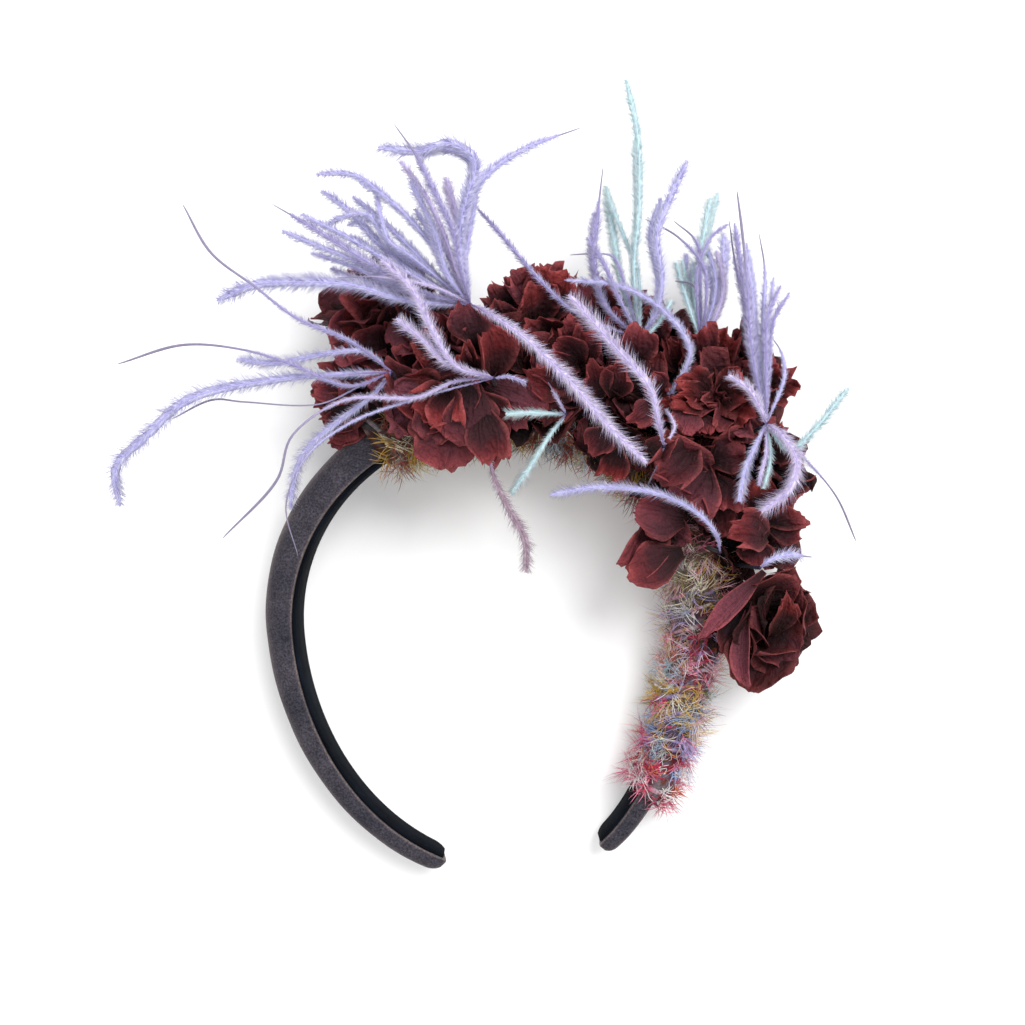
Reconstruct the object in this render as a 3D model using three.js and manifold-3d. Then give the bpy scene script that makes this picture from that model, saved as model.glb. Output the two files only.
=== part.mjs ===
// A floral headpiece that lies on its back edge, as it does when it is put down on a table.
// A padded velvet hair band is wound with fuzzy yarn over its top and down one leg.
// Dried blooms and sprays of ostrich feather are tied on over the yarn.
// Millimetres, +Z up from the table, +X to the right and +Y towards the top of the arch.

import * as THREE from 'three';
import Module from 'manifold-3d';

const wasm = await Module();
wasm.setup();

const { Vector3, Matrix4 } = THREE;
const radians = THREE.MathUtils.degToRad;
const mix = THREE.MathUtils.lerp;
const clamp = THREE.MathUtils.clamp;

// Gap that two pieces keep where they meet, and the smallest detail that a cut leaves.
const GAP = 0.3;
const SMALLEST_DETAIL = 0.25;

// The arch of the band: the outside of the padding, in the band's own plane.
const ARCH_HALF_WIDTH = 73.6;
const ARCH_RISE = 70.5;
const ARCH_DROP = 88;
const ARCH_END = radians(159);
const ARCH_CENTRE_X = 3.2;
const ARCH_CENTRE_Y = -37.7;
const ARCH_TURN = radians(5.6);

// The wound leg bows in: by how much, and where on the arch that starts and is greatest.
const TUCK = 8;
const TUCK_START = radians(55);
const TUCK_PEAK = radians(115);

// How the band lies: the wide, wound top holds the arch up and the right leg is wound too.
const LEAN = radians(3.2);
const ROLL = radians(-0.5);
const MID_HEIGHT = 15.4;

// Section of the padded band, at the top, halfway down a leg and at the tip.
const PAD_THICK_TOP = 11.5;
const PAD_THICK_LEG = 9.1;
const PAD_THICK_TIP = 5.8;
const PAD_WIDE_TOP = 28;
const PAD_WIDE_LEG = 20;
const PAD_WIDE_TIP = 12;
const LEG_SHARE = 0.56;
const LEG_EASE = 1.6;
const DOME_DEPTH = 0.86;
const DOME_POWER = 0.75;
const FLAT_SHARE = 0.9;
const TIP_ROUNDING = 7;
const TIP_LEAST = 0.3;
const OUTER_ROUNDING = 0.65;
const TIP_STATIONS = [0, 0.6, 2, 4.6].map(radians);
const BAND_STATIONS = 32;
const DOME_POINTS = 7;

// The lining strip glued to the inside of the band.
const LINING_THICK = 1;
const LINING_SHARE = 0.84;
const LINING_INSET = radians(1.2);

// The wound yarn: where it starts and stops on the arch, its depth and its turns.
const YARN_START = radians(-29);
const YARN_END = radians(138);
const YARN_DEPTH = 5.2;
const YARN_DEPTH_END = 4.4;
const YARN_RIDGE = 0.7;
const YARN_TURNS = 14;
const YARN_STATIONS = 42;
const YARN_POINTS = 12;
const YARN_SQUARE = 2.8;

// Stems are tied on inside the wound stretch, found to within this step along the arch.
const TIE_INSET = radians(3.4);
const TIE_STEP = radians(1.7);

// The viewpoint that places are read from: straight above the table.
const VIEW_HEIGHT = 400;
const VIEW_X = 7.5;
const VIEW_Y = -6.6;
const VIEW_CENTRE_PIXEL = 512.5;
const TABLE_MM_PER_PIXEL = 0.3299;

// Petals are modelled a little thicker than real ones, and nothing goes below the table.
const PETAL_THICK = 1.3;
const TABLE_CLEARANCE = 0.4;

// A bloom's dish: how deep its heart is, then shares of the reach: how high the heart rises,
// where the valley and the underside turn, how deep the notches are and how wide a petal is,
// how far the inner ring reaches and how low it dips behind an outer petal.
const HEART_DEPTH = 3.2;
const HEART_RISE = 0.3;
const VALLEY_SHARE = 0.5;
const UNDER_SHARE = 0.55;
const NOTCH_SHARE = 0.68;
const SHOULDER = 0.29;
const SECOND_SHOULDER = 0.95;
const SECOND_CUP = 0.6;
const INNER_SHARE = 0.72;
const INNER_GAP = 0.72;

// A bloom faces away from the band and this much upwards, and hangs on a thin stem.
const FACE_UP = 0.5;
const STEM_RADIUS = 1.5;
const STEM_SIDES = 5;
const NEIGHBOUR_MARGIN = 14;

// How much the petals of a ring differ: degrees round the bloom, degrees of opening, then
// the least and greatest share of the reach and of the cupping.
const AROUND_SPREAD = 24;
const OPEN_SPREAD = 18;
const REACH_SPREAD = [0.84, 1.16];
const CUP_SPREAD = [0.06, 0.26];
const MARKS_PER_BLOOM = 16;

// Rows of a petal that stands alone: share of its length, and share of its width there.
const PETAL_ROWS = [[0, 0.34], [0.4, 0.86], [0.76, 1], [1, 0.52]];
const PETAL_BOW = 0.3;

// Feather strands are flat strips: a thin quill with a soft vane on each side.
const STRAND_STEP = 11;
const STRAND_LEAST_STEPS = 3;
const STRAND_MOST_STEPS = 6;
const STRAND_THICK = 0.9;
const QUILL_WIDTH = 1;
const SPRAY_HEAD_RADIUS = 2.6;
const SPRAY_STEM_RADIUS = 1.1;

// Colours of the real materials.
const VELVET = { color: '#47403f', roughness: 0.9 };
const LINING = { color: '#12161d', roughness: 0.7 };
const YARN = { color: '#a58a86', roughness: 0.95 };
const PETAL = { color: '#6d2529', roughness: 0.75 };
const FEATHER = { color: '#b9b3dc', roughness: 0.8 };
const MINT_FEATHER = { color: '#c4dde2', roughness: 0.8 };

// Blooms: centre as seen from above in pixels, height of the centre, reach of the petals, petals
// in a ring, how far the outer and inner rings open in degrees, and a turn in degrees.
const BLOOMS = [
  // name, across, down, height, reach, petals, opening, inner opening, turn
  ['rose_left', 366, 330, 27, 21.5, 5, 62, 30, 20],
  ['rose_low_left', 352, 398, 21, 17.5, 5, 72, 35, 75],
  ['rose_front', 446, 402, 44, 18, 5, 74, 38, 10],
  ['bloom_upper_left', 424, 332, 35, 18.5, 5, 76, 40, 50],
  ['bloom_folded', 482, 352, 41, 16, 4, 70, 35, 30],
  ['bloom_top', 534, 316, 25, 20, 5, 72, 38, 65],
  ['bloom_centre', 566, 374, 41, 18, 5, 76, 40, 5],
  ['bloom_top_centre', 606, 326, 28, 19, 5, 76, 38, 40],
  ['bloom_deep', 514, 380, 37, 14, 4, 70, 30, 80],
  ['bloom_top_right', 655, 334, 22, 17.5, 5, 74, 35, 15],
  ['bloom_middle', 630, 394, 39, 18, 5, 76, 40, 60],
  ['bloom_small_right', 696, 350, 20, 16, 4, 74, 35, 25],
  ['carnation_top', 720, 404, 38, 19, 6, 78, 42, 0],
  ['carnation_side', 706, 480, 36, 19, 6, 76, 40, 35],
  ['bloom_far_right', 750, 372, 19, 17.5, 5, 72, 35, 55],
  ['bloom_leg', 662, 526, 37, 12, 4, 76, 38, 10],
  ['bloom_low_right', 758, 530, 25, 19, 5, 74, 38, 45],
  ['bloom_side_right', 768, 454, 20, 18.5, 5, 72, 35, 85],
  ['rose_right', 766, 624, 27, 20.5, 5, 66, 32, 15],
  ['bloom_inner', 606, 440, 38, 14.5, 5, 76, 40, 70],
];

// Petals that stand out of a bloom by themselves: where the tip is, how wide the petal is,
// how much it is cupped and how far its tip curls back.
const LONE_PETALS = [
  // bloom, across, down, height, width, cup, curl
  ['rose_left', 392, 256, 33, 17, 0.15, 0.05],
  ['rose_left', 432, 288, 30, 14, 0.2, 0.1],
  ['rose_left', 334, 352, 40, 18, 0.3, 0.1],
  ['rose_low_left', 314, 384, 27, 11, 0.25, 0.1],
  ['rose_low_left', 331, 446, 26, 12, 0.1, 0.05],
  ['rose_front', 468, 462, 50, 22, 0.2, 0.15],
  ['rose_front', 392, 384, 52, 15, 0.15, 0.1],
  ['rose_front', 418, 428, 50, 14, 0.2, 0.1],
  ['bloom_folded', 490, 322, 53, 13, 0.35, 0],
  ['bloom_top', 514, 273, 29, 12, 0.2, 0.1],
  ['bloom_top', 560, 269, 38, 16, 0.3, 0],
  ['bloom_top', 494, 293, 28, 11, 0.15, 0.1],
  ['bloom_centre', 538, 364, 52, 11, 0.3, 0.1],
  ['bloom_top_centre', 640, 320, 36, 14, 0.15, 0.1],
  ['carnation_top', 664, 410, 45, 14, 0.15, 0.1],
  ['carnation_side', 664, 462, 48, 13, 0.4, 0],
  ['bloom_far_right', 722, 340, 22, 11, 0.2, 0.05],
  ['bloom_far_right', 783, 398, 18, 10, 0.2, 0.1],
  ['bloom_leg', 627, 574, 42, 12, 0.25, 0.1],
  ['bloom_leg', 640, 512, 45, 12, 0.2, 0.1],
  ['bloom_low_right', 799, 514, 26, 10, 0.2, 0.1],
  ['rose_right', 704, 628, 34, 12, 0.2, 0.05],
  ['rose_right', 748, 690, 26, 14, 0.2, 0.05],
  ['rose_right', 806, 588, 28, 15, 0.3, 0.05],
  ['rose_right', 784, 668, 36, 16, 0.3, 0.05],
];

// Feather sprays: the head that the strands grow from, as seen from above, and its height.
const SPRAYS = [
  // name, across, down, height, material
  ['feathers_left', 392, 372, 57, FEATHER],
  ['feathers_upper_left', 470, 304, 55, FEATHER],
  ['feathers_front', 494, 378, 60, FEATHER],
  ['feathers_middle', 664, 446, 59, FEATHER],
  ['feathers_top_right', 640, 340, 46, FEATHER],
  ['feathers_far_right', 700, 340, 40, FEATHER],
  ['feathers_right', 766, 424, 50, FEATHER],
  ['feather_low_right', 760, 568, 42, FEATHER],
  ['feather_inner_leg', 720, 552, 46, FEATHER],
  ['feather_hanging', 489, 452, 50, FEATHER],
  ['feathers_mint', 566, 414, 57, MINT_FEATHER],
];

// Strands: height of the tip, arch of the strand, width of its vanes, bare share at the tip,
// then the points it passes through from its tip towards the head of its spray.
const STRANDS = [
  // spray, tip height, arch, width, bare share, points
  ['feathers_left', 62, 6, 2.2, 0.45, [183, 205], [211, 253], [254, 286], [298, 319], [350, 341]],
  ['feathers_left', 44, 6, 2.4, 0.5, [118, 364], [183, 345], [244, 350], [288, 363], [350, 386]],
  ['feathers_left', 30, 6, 4.4, 0, [120, 508], [116, 468], [146, 436], [189, 399], [280, 379], [350, 374]],
  ['feathers_left', 36, 4, 3.6, 0, [236, 359], [275, 363], [331, 353], [365, 352]],
  ['feathers_left', 26, 2, 3.8, 0, [290, 510], [295, 475], [308, 448], [340, 420], [372, 396]],
  ['feathers_upper_left', 52, 8, 4.4, 0, [216, 301], [254, 285], [298, 282], [353, 285], [410, 301]],
  ['feathers_upper_left', 44, 6, 3, 0, [281, 230], [318, 246], [360, 263], [405, 287]],
  ['feathers_upper_left', 58, 6, 3, 0.1, [272, 204], [318, 231], [369, 263], [420, 292]],
  ['feathers_upper_left', 50, 6, 3, 0, [315, 174], [353, 175], [388, 199], [423, 234], [448, 270]],
  ['feathers_upper_left', 40, 6, 3.2, 0, [321, 190], [350, 212], [379, 244], [420, 276]],
  ['feathers_upper_left', 46, 6, 2.8, 0, [323, 229], [340, 218], [368, 215], [388, 242], [437, 278]],
  ['feathers_upper_left', 66, 10, 4.8, 0, [377, 147], [420, 151], [449, 143],
    [475, 160], [466, 202], [461, 240]],
  ['feathers_upper_left', 56, 8, 3.2, 0.1, [580, 128], [524, 149], [485, 177], [466, 210], [458, 254]],
  ['feathers_upper_left', 70, 8, 3, 0.2, [394, 124], [417, 157], [436, 195], [453, 231], [460, 268]],
  ['feathers_upper_left', 60, 6, 3.4, 0, [410, 180], [423, 206], [436, 235], [446, 270]],
  ['feathers_upper_left', 62, 6, 1.6, 0.3, [337, 278], [381, 277], [437, 288]],
  ['feathers_upper_left', 63, 8, 4.4, 0, [648, 464], [610, 427], [571, 382], [525, 338], [490, 314]],
  ['feathers_front', 40, 2, 2.6, 0.5, [223, 538], [277, 480], [292, 436],
    [345, 400], [418, 397], [456, 381]],
  ['feathers_front', 66, 2, 4, 0, [380, 259], [410, 286], [429, 324], [456, 366]],
  ['feathers_front', 64, 1, 4, 0, [396, 318], [421, 338], [446, 362]],
  ['feathers_front', 38, 0, 1.3, 0.3, [298, 556], [286, 505], [307, 456], [350, 423], [418, 398]],
  ['feathers_middle', 60, 5, 5, 0, [568, 294], [618, 350], [650, 388], [658, 420]],
  ['feathers_top_right', 34, 4, 2.4, 0.1, [462, 192], [498, 231], [537, 277], [575, 312]],
  ['feathers_top_right', 46, 4, 3.6, 0, [626, 78], [638, 138], [639, 210], [634, 270]],
  ['feathers_top_right', 40, 4, 3.4, 0.2, [603, 167], [598, 211], [594, 262], [606, 306]],
  ['feathers_top_right', 30, 4, 3.6, 0, [607, 187], [613, 232], [622, 284]],
  ['feathers_top_right', 52, 4, 2.4, 0, [587, 237], [605, 266], [618, 296]],
  ['feathers_top_right', 50, 6, 4, 0, [688, 160], [670, 198], [657, 236], [662, 280], [656, 314]],
  ['feathers_far_right', 44, 4, 2.2, 0.3, [645, 219], [678, 237], [704, 268], [706, 304]],
  ['feathers_far_right', 36, 2, 2.4, 0.2, [674, 221], [697, 243], [700, 290]],
  ['feathers_far_right', 26, 4, 4, 0, [711, 197], [703, 240], [694, 290]],
  ['feathers_far_right', 24, 2, 3.6, 0, [724, 232], [722, 270], [712, 308]],
  ['feathers_far_right', 52, 4, 2.6, 0, [564, 280], [620, 286], [665, 312], [690, 352], [670, 396]],
  ['feathers_right', 48, 4, 3.4, 0.35, [737, 191], [742, 230], [747, 280], [752, 350]],
  ['feathers_right', 40, 2, 2.8, 0.2, [729, 220], [735, 262], [746, 310], [756, 370]],
  ['feathers_right', 34, 2, 2.6, 0.2, [759, 233], [765, 272], [763, 330], [765, 380]],
  ['feathers_right', 50, 2, 2.6, 0, [781, 285], [768, 315], [766, 370]],
  ['feathers_right', 62, 2, 3, 0, [847, 389], [815, 429], [787, 467], [768, 480], [760, 450]],
  ['feathers_right', 30, 4, 1.8, 0.5, [856, 541], [836, 496], [804, 458], [780, 436]],
  ['feathers_right', 56, 6, 5, 0, [761, 512], [790, 488], [797, 460], [782, 436]],
  ['feathers_right', 54, 4, 3.4, 0, [728, 375], [749, 390], [760, 408]],
  ['feathers_right', 52, 2, 3.2, 0, [739, 502], [746, 468], [760, 436]],
  ['feather_low_right', 38, 2, 3.8, 0.2, [812, 557], [788, 555], [770, 560]],
  ['feather_inner_leg', 50, 4, 3.4, 0, [549, 495], [600, 487], [660, 494], [700, 515], [717, 536]],
  ['feather_hanging', 46, 2, 3.8, 0, [526, 573], [525, 540], [506, 504], [493, 474]],
  ['feathers_mint', 46, 2, 3, 0, [511, 494], [528, 470], [548, 438]],
  ['feathers_mint', 56, 0, 3, 0, [505, 414], [530, 413]],
];

// A repeatable spread between 0 and 1 for the small differences between petals.
function spread(index, salt) {
  const wave = Math.sin(index * 12.9898 + salt * 78.233) * 43758.5453;
  return wave - Math.floor(wave);
}

// The point seen at a pixel from the viewpoint, at a height above the table.
function seenAt(across, down, height) {
  const scale = (TABLE_MM_PER_PIXEL * (VIEW_HEIGHT - height)) / VIEW_HEIGHT;
  const x = VIEW_X + (across - VIEW_CENTRE_PIXEL) * scale;
  const y = VIEW_Y + (VIEW_CENTRE_PIXEL - down) * scale;
  return new Vector3(x, y, height);
}

// Moves a point from the band's own plane to where the band lies.
const lieDown = new Matrix4()
  .makeTranslation(ARCH_CENTRE_X, ARCH_CENTRE_Y, MID_HEIGHT)
  .multiply(new Matrix4().makeRotationZ(ARCH_TURN))
  .multiply(new Matrix4().makeRotationX(LEAN))
  .multiply(new Matrix4().makeRotationY(-ROLL));

// How far the wound leg bows in at an angle along the arch.
function tuckAt(angle) {
  if (angle < TUCK_PEAK) {
    return TUCK * THREE.MathUtils.smoothstep(angle, TUCK_START, TUCK_PEAK);
  }
  return TUCK * Math.sin(((Math.PI / 2) * (ARCH_END - angle)) / (ARCH_END - TUCK_PEAK));
}

// A point of the band: angle along the arch, distance out from the padding, distance across.
function bandPoint(angle, outward, sideways) {
  const rise = Math.abs(angle) < Math.PI / 2 ? ARCH_RISE : ARCH_DROP;
  const across = ARCH_HALF_WIDTH * Math.sin(angle) - tuckAt(angle);
  const along = new Vector3(across, rise * Math.cos(angle), 0);
  const normal = new Vector3(Math.sin(angle) / ARCH_HALF_WIDTH, Math.cos(angle) / rise, 0);
  along.addScaledVector(normal.normalize(), outward);
  along.z = sideways;
  return along.applyMatrix4(lieDown);
}

// Thickness and width of the padding fall from the top to the leg and from the leg to the tip.
function padSize(angle, top, leg, tip) {
  const share = Math.abs(angle) / ARCH_END;
  if (share < LEG_SHARE) {
    return mix(top, leg, (share / LEG_SHARE) ** LEG_EASE);
  }
  return mix(leg, tip, (share - LEG_SHARE) / (1 - LEG_SHARE));
}

function padThickness(angle) {
  return padSize(angle, PAD_THICK_TOP, PAD_THICK_LEG, PAD_THICK_TIP);
}

function padWidth(angle) {
  return padSize(angle, PAD_WIDE_TOP, PAD_WIDE_LEG, PAD_WIDE_TIP);
}

// The round end of a tip: the section shrinks over the last few millimetres.
function tipRounding(angle) {
  const left = (ARCH_END - Math.abs(angle)) * ARCH_DROP;
  const inside = clamp(1 - left / TIP_ROUNDING, 0, 1);
  return Math.max(Math.sqrt(1 - inside * inside), TIP_LEAST);
}

// How far the outer and inner faces of the padding lie from its outline at an angle.
function padFaces(angle) {
  const loss = padThickness(angle) * (1 - tipRounding(angle));
  return { outer: -loss * OUTER_ROUNDING, inner: loss * (1 - OUTER_ROUNDING) - padThickness(angle) };
}

// A closed solid from points and triangles, turned the right way out.
function solidFrom(points, triangles) {
  let volume = 0;
  for (const [a, b, c] of triangles) {
    volume += points[a].dot(points[b].clone().cross(points[c]));
  }
  const faces = volume < 0 ? triangles.map(([a, b, c]) => [a, c, b]) : triangles;
  const vertProperties = new Float32Array(points.flatMap((point) => [point.x, point.y, point.z]));
  const triVerts = new Uint32Array(faces.flat());
  return new wasm.Manifold(new wasm.Mesh({ numProp: 3, vertProperties, triVerts }));
}

// A closed solid through rings of points that all have the same count.
function sweptSolid(rings) {
  const count = rings[0].length;
  const triangles = [];
  for (let ring = 0; ring + 1 < rings.length; ring += 1) {
    for (let side = 0; side < count; side += 1) {
      const next = (side + 1) % count;
      const low = ring * count;
      const high = low + count;
      triangles.push([low + side, low + next, high + next], [low + side, high + next, high + side]);
    }
  }
  const last = (rings.length - 1) * count;
  for (let side = 1; side + 1 < count; side += 1) {
    triangles.push([0, side + 1, side], [last, last + side, last + side + 1]);
  }
  return solidFrom(rings.flat(), triangles);
}

// The padding's section: domed outside, flat inside, grown by an amount on every side.
function padRing(angle, grow, behind) {
  const { outer, inner } = padFaces(angle);
  const half = (padWidth(angle) / 2) * tipRounding(angle);
  const ring = [];
  for (let index = 0; index < DOME_POINTS; index += 1) {
    const turn = mix(-Math.PI / 2, Math.PI / 2, index / (DOME_POINTS - 1));
    const dip = DOME_DEPTH * (1 - Math.cos(turn) ** DOME_POWER);
    ring.push(bandPoint(angle, outer + dip * (inner - outer) + grow, Math.sin(turn) * (half + grow)));
  }
  for (const side of [1, -1]) {
    ring.push(bandPoint(angle, inner - behind, side * (half * FLAT_SHARE + grow)));
  }
  return ring;
}

// Angles along the arch, closer together where the tips are rounded.
function stationsTo(end) {
  const body = end - Math.max(...TIP_STATIONS);
  const angles = TIP_STATIONS.slice(0, -1).map((inset) => inset - end);
  for (let station = 0; station <= BAND_STATIONS; station += 1) {
    angles.push(mix(-body, body, station / BAND_STATIONS));
  }
  return angles.concat(TIP_STATIONS.slice(0, -1).map((inset) => end - inset).reverse());
}

function padSolid(grow, behind) {
  return sweptSolid(stationsTo(ARCH_END).map((angle) => padRing(angle, grow, behind)));
}

function liningSolid() {
  const rings = stationsTo(ARCH_END - LINING_INSET).map((angle) => {
    const half = (padWidth(angle) / 2) * LINING_SHARE * tipRounding(angle);
    const near = padFaces(angle).inner - GAP;
    const far = near - LINING_THICK;
    return [
      bandPoint(angle, near, -half),
      bandPoint(angle, near, half),
      bandPoint(angle, far, half),
      bandPoint(angle, far, -half),
    ];
  });
  return sweptSolid(rings);
}

// One ring of the wound yarn: a rounded rectangle with a ridge that winds along the band.
function yarnRing(angle, grow) {
  const share = (angle - YARN_START) / (YARN_END - YARN_START);
  const depth = mix(YARN_DEPTH, YARN_DEPTH_END, share);
  const inside = padThickness(angle) + GAP + LINING_THICK;
  const ring = [];
  for (let index = 0; index < YARN_POINTS; index += 1) {
    const turn = (index / YARN_POINTS) * Math.PI * 2;
    const ridge = YARN_RIDGE * Math.cos(turn + share * YARN_TURNS * Math.PI * 2);
    const thick = depth - YARN_RIDGE + ridge + grow;
    const cosine = Math.sign(Math.cos(turn)) * Math.abs(Math.cos(turn)) ** (2 / YARN_SQUARE);
    const sine = Math.sign(Math.sin(turn)) * Math.abs(Math.sin(turn)) ** (2 / YARN_SQUARE);
    const outward = -inside / 2 + cosine * (inside / 2 + thick);
    ring.push(bandPoint(angle, outward, sine * (padWidth(angle) / 2 + thick)));
  }
  return ring;
}

function yarnSolid(grow) {
  const rings = [];
  const past = grow / ARCH_HALF_WIDTH;
  for (let station = 0; station <= YARN_STATIONS; station += 1) {
    const share = station / YARN_STATIONS;
    rings.push(yarnRing(mix(YARN_START - past, YARN_END + past, share), grow));
  }
  return sweptSolid(rings);
}

// The point on the middle line of the wound band that is nearest to a place.
function nearestOnBand(place) {
  let nearest = null;
  for (let angle = YARN_START + TIE_INSET; angle < YARN_END; angle += TIE_STEP) {
    const point = bandPoint(angle, -padThickness(angle) / 2, 0);
    if (!nearest || point.distanceTo(place) < nearest.distanceTo(place)) {
      nearest = point;
    }
  }
  return nearest;
}

// A round stem between two points.
function stemSolid(from, to, radius) {
  const length = from.distanceTo(to);
  const rings = [];
  const axis = to.clone().sub(from).normalize();
  const side = new Vector3(0, 0, 1).cross(axis);
  if (side.length() < 0.1) {
    side.set(1, 0, 0);
  }
  side.normalize();
  const other = axis.clone().cross(side);
  for (const distance of [0, length]) {
    const ring = [];
    for (let index = 0; index < STEM_SIDES; index += 1) {
      const turn = (index / STEM_SIDES) * Math.PI * 2;
      const point = from.clone().addScaledVector(axis, distance);
      point.addScaledVector(side, Math.cos(turn) * radius);
      ring.push(point.addScaledVector(other, Math.sin(turn) * radius));
    }
    rings.push(ring);
  }
  return sweptSolid(rings);
}

function ballSolid(centre, radius) {
  const shape = new THREE.IcosahedronGeometry(radius, 0);
  const position = shape.getAttribute('position');
  const points = [];
  const triangles = [];
  const found = new Map();
  const corners = [];
  for (let index = 0; index < position.count; index += 1) {
    const point = new Vector3().fromBufferAttribute(position, index);
    const key = point.toArray().map((value) => value.toFixed(3)).join();
    if (!found.has(key)) {
      found.set(key, points.length);
      points.push(point.add(centre));
    }
    corners.push(found.get(key));
  }
  for (let index = 0; index < corners.length; index += 3) {
    triangles.push(corners.slice(index, index + 3));
  }
  return solidFrom(points, triangles);
}

function keepAboveTable(point) {
  point.z = Math.max(point.z, TABLE_CLEARANCE);
  return point;
}

// A petal is a thin lens over a grid of rows from base to tip, cupped across and curled along.
function petalSolid(petal) {
  const { base, tip, width, axis, cup, curl } = petal;
  const length = base.distanceTo(tip);
  const ahead = tip.clone().sub(base).normalize();
  const normal = axis.clone().addScaledVector(ahead, -axis.dot(ahead)).normalize();
  const side = ahead.clone().cross(normal);
  const points = [];
  const front = [];
  const back = [];
  PETAL_ROWS.forEach(([along, wide], row) => {
    for (let column = -1; column <= 1; column += 1) {
      const edgeLift = cup * width * wide * Math.abs(column);
      const bow = cup * length * PETAL_BOW * Math.sin(along * Math.PI) - curl * length * along ** 3;
      const place = base.clone().addScaledVector(ahead, along * length);
      place.addScaledVector(side, (column * width * wide) / 2).addScaledVector(normal, edgeLift + bow);
      const inner = column === 0 && row > 0 && row < PETAL_ROWS.length - 1;
      front.push(points.push(keepAboveTable(place)) - 1);
      if (inner) {
        const below = place.clone().addScaledVector(normal, -PETAL_THICK);
        back.push(points.push(keepAboveTable(below)) - 1);
      } else {
        back.push(front[front.length - 1]);
      }
    }
  });
  const triangles = [];
  for (let row = 0; row + 1 < PETAL_ROWS.length; row += 1) {
    for (let column = 0; column < 2; column += 1) {
      const corner = row * 3 + column;
      const quad = [corner, corner + 1, corner + 4, corner + 3];
      if (column === 1) {
        quad.push(quad.shift());
      }
      for (const [a, b, c] of [[quad[0], quad[1], quad[2]], [quad[0], quad[2], quad[3]]]) {
        triangles.push([front[a], front[b], front[c]], [back[a], back[c], back[b]]);
      }
    }
  }
  return solidFrom(points, triangles);
}

// A bloom's own frame: its centre, the way that it faces, and two directions across it.
function bloomFrame(bloom) {
  const [, across, down, height] = bloom;
  const centre = seenAt(across, down, height);
  const root = nearestOnBand(centre);
  const axis = centre.clone().sub(root).normalize();
  axis.z += FACE_UP;
  axis.normalize();
  const level = new Vector3(0, 0, 1).cross(axis).normalize();
  return { centre, root, axis, level, steep: axis.clone().cross(level) };
}

// The petals of one ring: where each points round the bloom, how far it opens and reaches.
function ringPetals(count, opening, reach, turn, mark) {
  const petals = [];
  for (let index = 0; index < count; index += 1) {
    const place = mark + index;
    petals.push({
      around: radians(turn + (index / count) * 360 + AROUND_SPREAD * (spread(place, 1) - 0.5)),
      open: radians(opening + OPEN_SPREAD * (spread(place, 2) - 0.5)),
      reach: reach * mix(...REACH_SPREAD, spread(place, 3)),
      cup: mix(...CUP_SPREAD, spread(place, 4)),
    });
  }
  return petals;
}

// The rings of a bloom as a single notched dish, thick at its heart and thin at its rim.
// The inner petals stand in front of the notches between the outer ones, round an open heart.
function dishSolid(frame, petals, inner) {
  const { centre, axis, level, steep } = frame;
  const columns = [];
  petals.forEach((petal, index) => {
    const after = petals[(index + 1) % petals.length];
    const half = ((Math.PI * 2) / petals.length) * SHOULDER;
    const between = THREE.MathUtils.euclideanModulo(after.around - petal.around, Math.PI * 2);
    const notch = Math.min(petal.reach, after.reach) * NOTCH_SHARE;
    const { around, open, reach, cup } = petal;
    columns.push({ around: around - half, open, reach, lift: cup, front: INNER_GAP });
    const second = reach * SECOND_SHOULDER;
    columns.push({ around: around + half, open, reach: second, lift: cup * SECOND_CUP, front: INNER_GAP });
    const middle = around + between / 2;
    columns.push({ around: middle, open: (open + after.open) / 2, reach: notch, lift: 0, front: 1 });
  });
  const at = (column, out, up) => {
    const place = centre.clone().addScaledVector(level, out * Math.cos(column.around));
    place.addScaledVector(steep, out * Math.sin(column.around));
    return keepAboveTable(place.addScaledVector(axis, up));
  };
  const innerRim = (column) => {
    const reach = inner.reach * column.front;
    return at(column, reach * Math.sin(inner.open), reach * Math.cos(inner.open));
  };
  const outerRim = (column, share, drop) => {
    const reach = column.reach * share;
    const up = reach * Math.cos(column.open) + column.lift * column.reach * share ** 2;
    return at(column, reach * Math.sin(column.open), up - drop);
  };
  const rows = [
    innerRim,
    (column) => outerRim(column, VALLEY_SHARE, 0),
    (column) => outerRim(column, 1, 0),
    (column) => outerRim(column, UNDER_SHARE, PETAL_THICK),
  ];
  const points = rows.flatMap((row) => columns.map(row));
  const count = columns.length;
  const last = (rows.length - 1) * count;
  const top = points.push(centre.clone().addScaledVector(axis, inner.reach * HEART_RISE)) - 1;
  const bottom = points.push(centre.clone().addScaledVector(axis, -HEART_DEPTH)) - 1;
  const triangles = [];
  for (let index = 0; index < count; index += 1) {
    const next = (index + 1) % count;
    triangles.push([top, index, next], [bottom, last + next, last + index]);
    for (let low = 0; low < last; low += count) {
      const high = low + count;
      triangles.push([low + index, high + index, high + next], [low + index, high + next, low + next]);
    }
  }
  return solidFrom(points, triangles);
}

function bloomSolid(bloom, order) {
  const [name, , , , reach, count, opening, innerOpening, turn] = bloom;
  const frame = bloomFrame(bloom);
  const petals = ringPetals(count, opening, reach, turn, order * MARKS_PER_BLOOM);
  const inner = { reach: reach * INNER_SHARE, open: radians(innerOpening) };
  const parts = [
    dishSolid(frame, petals, inner),
    stemSolid(frame.centre, frame.root, STEM_RADIUS),
  ];
  for (const [owner, across, down, height, width, cup, curl] of LONE_PETALS) {
    if (owner === name) {
      const tip = seenAt(across, down, height);
      parts.push(petalSolid({ base: frame.centre, tip, width, axis: frame.axis, cup, curl }));
    }
  }
  return wasm.Manifold.union(parts);
}

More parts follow.
